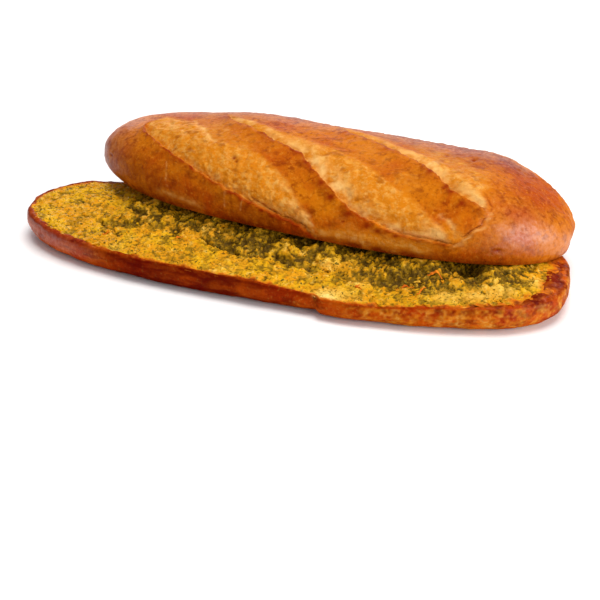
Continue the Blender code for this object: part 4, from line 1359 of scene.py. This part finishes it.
def makeTufts(tree, material):
    # torn lumps of crumb that stand up in the torn middle of the spread
    draw = random.Random(tufts["seed"])

    def addOne(mesh, index):
        masks = addMasks(mesh, crumbMasks)
        size = tufts["small"] + (tufts["large"] - tufts["small"]) * draw.random() ** 1.4
        while True:
            x = draw.uniform(-0.115, 0.152)
            y = lineAt(tearLine, x) + draw.uniform(-0.001, 0.030) * draw.random() ** 0.6
            if draw.random() < 0.12:  # a few lie further forward
                y = draw.uniform(-0.052, 0.0)
            point, normal = dropOnto(tree, x, y)
            if point is not None and point.z + 0.8 * size < freeHeight(x, y):
                break
        lump = bmesh.ops.create_icosphere(mesh, subdivisions=2, radius=1.0)["verts"]
        stretch = Vector((draw.uniform(0.9, 1.5), draw.uniform(0.7, 1.1), draw.uniform(0.55, 0.85))) * size
        offset = draw.uniform(0, 50)
        cream, shade = 0.4 * draw.random() ** 2, draw.choice((0.0, 0.0, 0.15, 0.35))
        for vertex in lump:
            ball = vertex.co.copy()
            bent = ball + Vector((offset, 0, 0))
            swell = 1 + 0.90 * noise.noise(1.6 * bent) + 0.80 * noise.noise(3.1 * bent)
            swell += draw.uniform(-0.15, 0.15)
            vertex.co = Vector((ball.x * stretch.x, ball.y * stretch.y, ball.z * stretch.z)) * swell
            # painted shade on each tuft's lower side and painted highlight on its top
            vertex[masks["crumbShade"]] = min(0.9, shade + 0.8 * smoothStep(0.35 - ball.z))
            vertex[masks["creamyAndLit"]] = cream * smoothStep(ball.z)
        place = layFlat(point, normal, draw.uniform(0, math.pi), draw.uniform(-0.5, 0.5), 0.05 * size)
        bmesh.ops.transform(mesh, matrix=place, verts=lump)

    mesh = gather(tufts["count"], addOne)
    finishPiece("crumbTufts", mesh, material, "herb_spread", 180)


def makeShreds(tree, material):
    # thin strips that sway from side to side and follow the spread under them
    form = shredForm
    draw = random.Random(form["seed"])
    mesh = bmesh.new()
    for x, y, turn, length in shreds:
        strip = bmesh.ops.create_grid(mesh, x_segments=14, y_segments=2, size=0.5)["verts"]
        bend, phase = draw.uniform(0.6, 1.4), draw.uniform(0, 3)
        for vertex in strip:
            along, across = vertex.co.x, vertex.co.y
            width = form["wide"] * (1 - (1.8 * along) ** 2 * 0.8) * (1 + 0.3 * math.sin(9 * along + phase))
            sideways = across * width + form["sway"] * bend * math.sin(4.5 * along + phase)
            placeX = x + along * length * math.cos(turn) - sideways * math.sin(turn)
            placeY = y + along * length * math.sin(turn) + sideways * math.cos(turn)
            lift = form["clear"] + 0.0004 * math.cos(math.pi * across) + 0.0003 * math.sin(8 * along + phase)
            vertex.co = dropOnto(tree, placeX, placeY)[0] + Vector((0, 0, lift))
    bmesh.ops.solidify(mesh, geom=mesh.faces[:], thickness=form["thick"])
    finishPiece("brownedShreds", mesh, material, "herb_spread", 80)


# ---- floor, light and camera


studio = dict(floor=(0.93, 0.925, 0.92), floorSize=10.0, world=(0.92, 0.93, 1.0), worldStrength=0.36)
softLights = dict(
    backLight=dict(place=(-0.20, 1.30, 0.50), aim=(0, 0.02, 0.03), size=(1.7, 0.5), power=8,
                   colour=(0.90, 0.93, 1.0)),
    overLight=dict(place=(0.05, 0.10, 1.35), aim=(0, 0, 0), size=(1.0, 0.9), power=17,
                   colour=(1.0, 0.98, 0.95)),
    sideLight=dict(place=(1.22, -0.44, 0.40), aim=(0.10, 0, 0.02), size=(1.3, 1.1), power=17,
                   colour=(1.0, 0.93, 0.90)),
)
view = dict(side=0.1768, back=0.5562, height=0.3102, lens=60,
            azimuth=math.radians(17.344), elevation=math.radians(31.3))


def makeFloor():
    mesh = bmesh.new()
    bmesh.ops.create_grid(mesh, x_segments=1, y_segments=1, size=studio["floorSize"])
    data = bpy.data.meshes.new("floor")
    mesh.to_mesh(data)
    mesh.free()
    material = newMaterial("paleFloor", {"Roughness": 0.85, "Base Color": (*studio["floor"], 1)})[0]
    data.materials.append(material)
    floor = bpy.data.objects.new("floor", data)
    bpy.context.scene.collection.objects.link(floor)


def addSoftLight(name, place, aim, size, power, colour):
    data = bpy.data.lights.new(name, "AREA")
    data.shape = "RECTANGLE"
    data.size, data.size_y = size
    data.energy = power
    data.color = colour
    light = bpy.data.objects.new(name, data)
    light.location = place
    light.rotation_euler = (Vector(aim) - Vector(place)).to_track_quat("-Z", "Y").to_euler()
    bpy.context.scene.collection.objects.link(light)


def makeStudio():
    scene = bpy.context.scene
    world = bpy.data.worlds.new("softStudio")
    scene.world = world
    world.use_nodes = True
    background = world.node_tree.nodes["Background"].inputs
    background["Color"].default_value = (*studio["world"], 1)
    background["Strength"].default_value = studio["worldStrength"]
    for name, settings in softLights.items():
        addSoftLight(name, **settings)
    scene.view_settings.view_transform = "Standard"


def makeCamera():
    data = bpy.data.cameras.new("photoView")
    data.lens = view["lens"]
    camera = bpy.data.objects.new("photoView", data)
    camera.location = (view["side"], -view["back"], view["height"])
    flat = math.cos(view["elevation"])
    aheadX, aheadY = -math.sin(view["azimuth"]) * flat, math.cos(view["azimuth"]) * flat
    ahead = Vector((aheadX, aheadY, -math.sin(view["elevation"])))
    camera.rotation_euler = ahead.to_track_quat("-Z", "Y").to_euler()
    bpy.context.scene.collection.objects.link(camera)
    bpy.context.scene.camera = camera


makeCamera()
makeStudio()
makeFloor()
print("floor, light and camera are set")

crustMaterial = makeCrustMaterial("bakedCrust", crustLook)
darkCrustMaterial = makeCrustMaterial("darkCrust", darkLook)
crumbMaterial = makeCrumbMaterial("herbButter", crumbLook)
makeTopCrust(crustMaterial)
crumbTree = makeTopCrumb(crumbMaterial)
makeBottomCrust(darkCrustMaterial)
spreadTree = makeSpread(crumbMaterial)
makeTufts(spreadTree, crumbMaterial)
makeCrumbs(spreadTree, crumbMaterial)
herbMaterial = makeFleckMaterial("driedHerb", (0.055, 0.045, 0.003), (0.200, 0.140, 0.010), 0.003)
makeHerbs(spreadTree, crumbTree, herbMaterial)
makeShreds(spreadTree, makeFleckMaterial("brownedShred", (0.55, 0.10, 0.003), (0.75, 0.22, 0.008), 0.004))
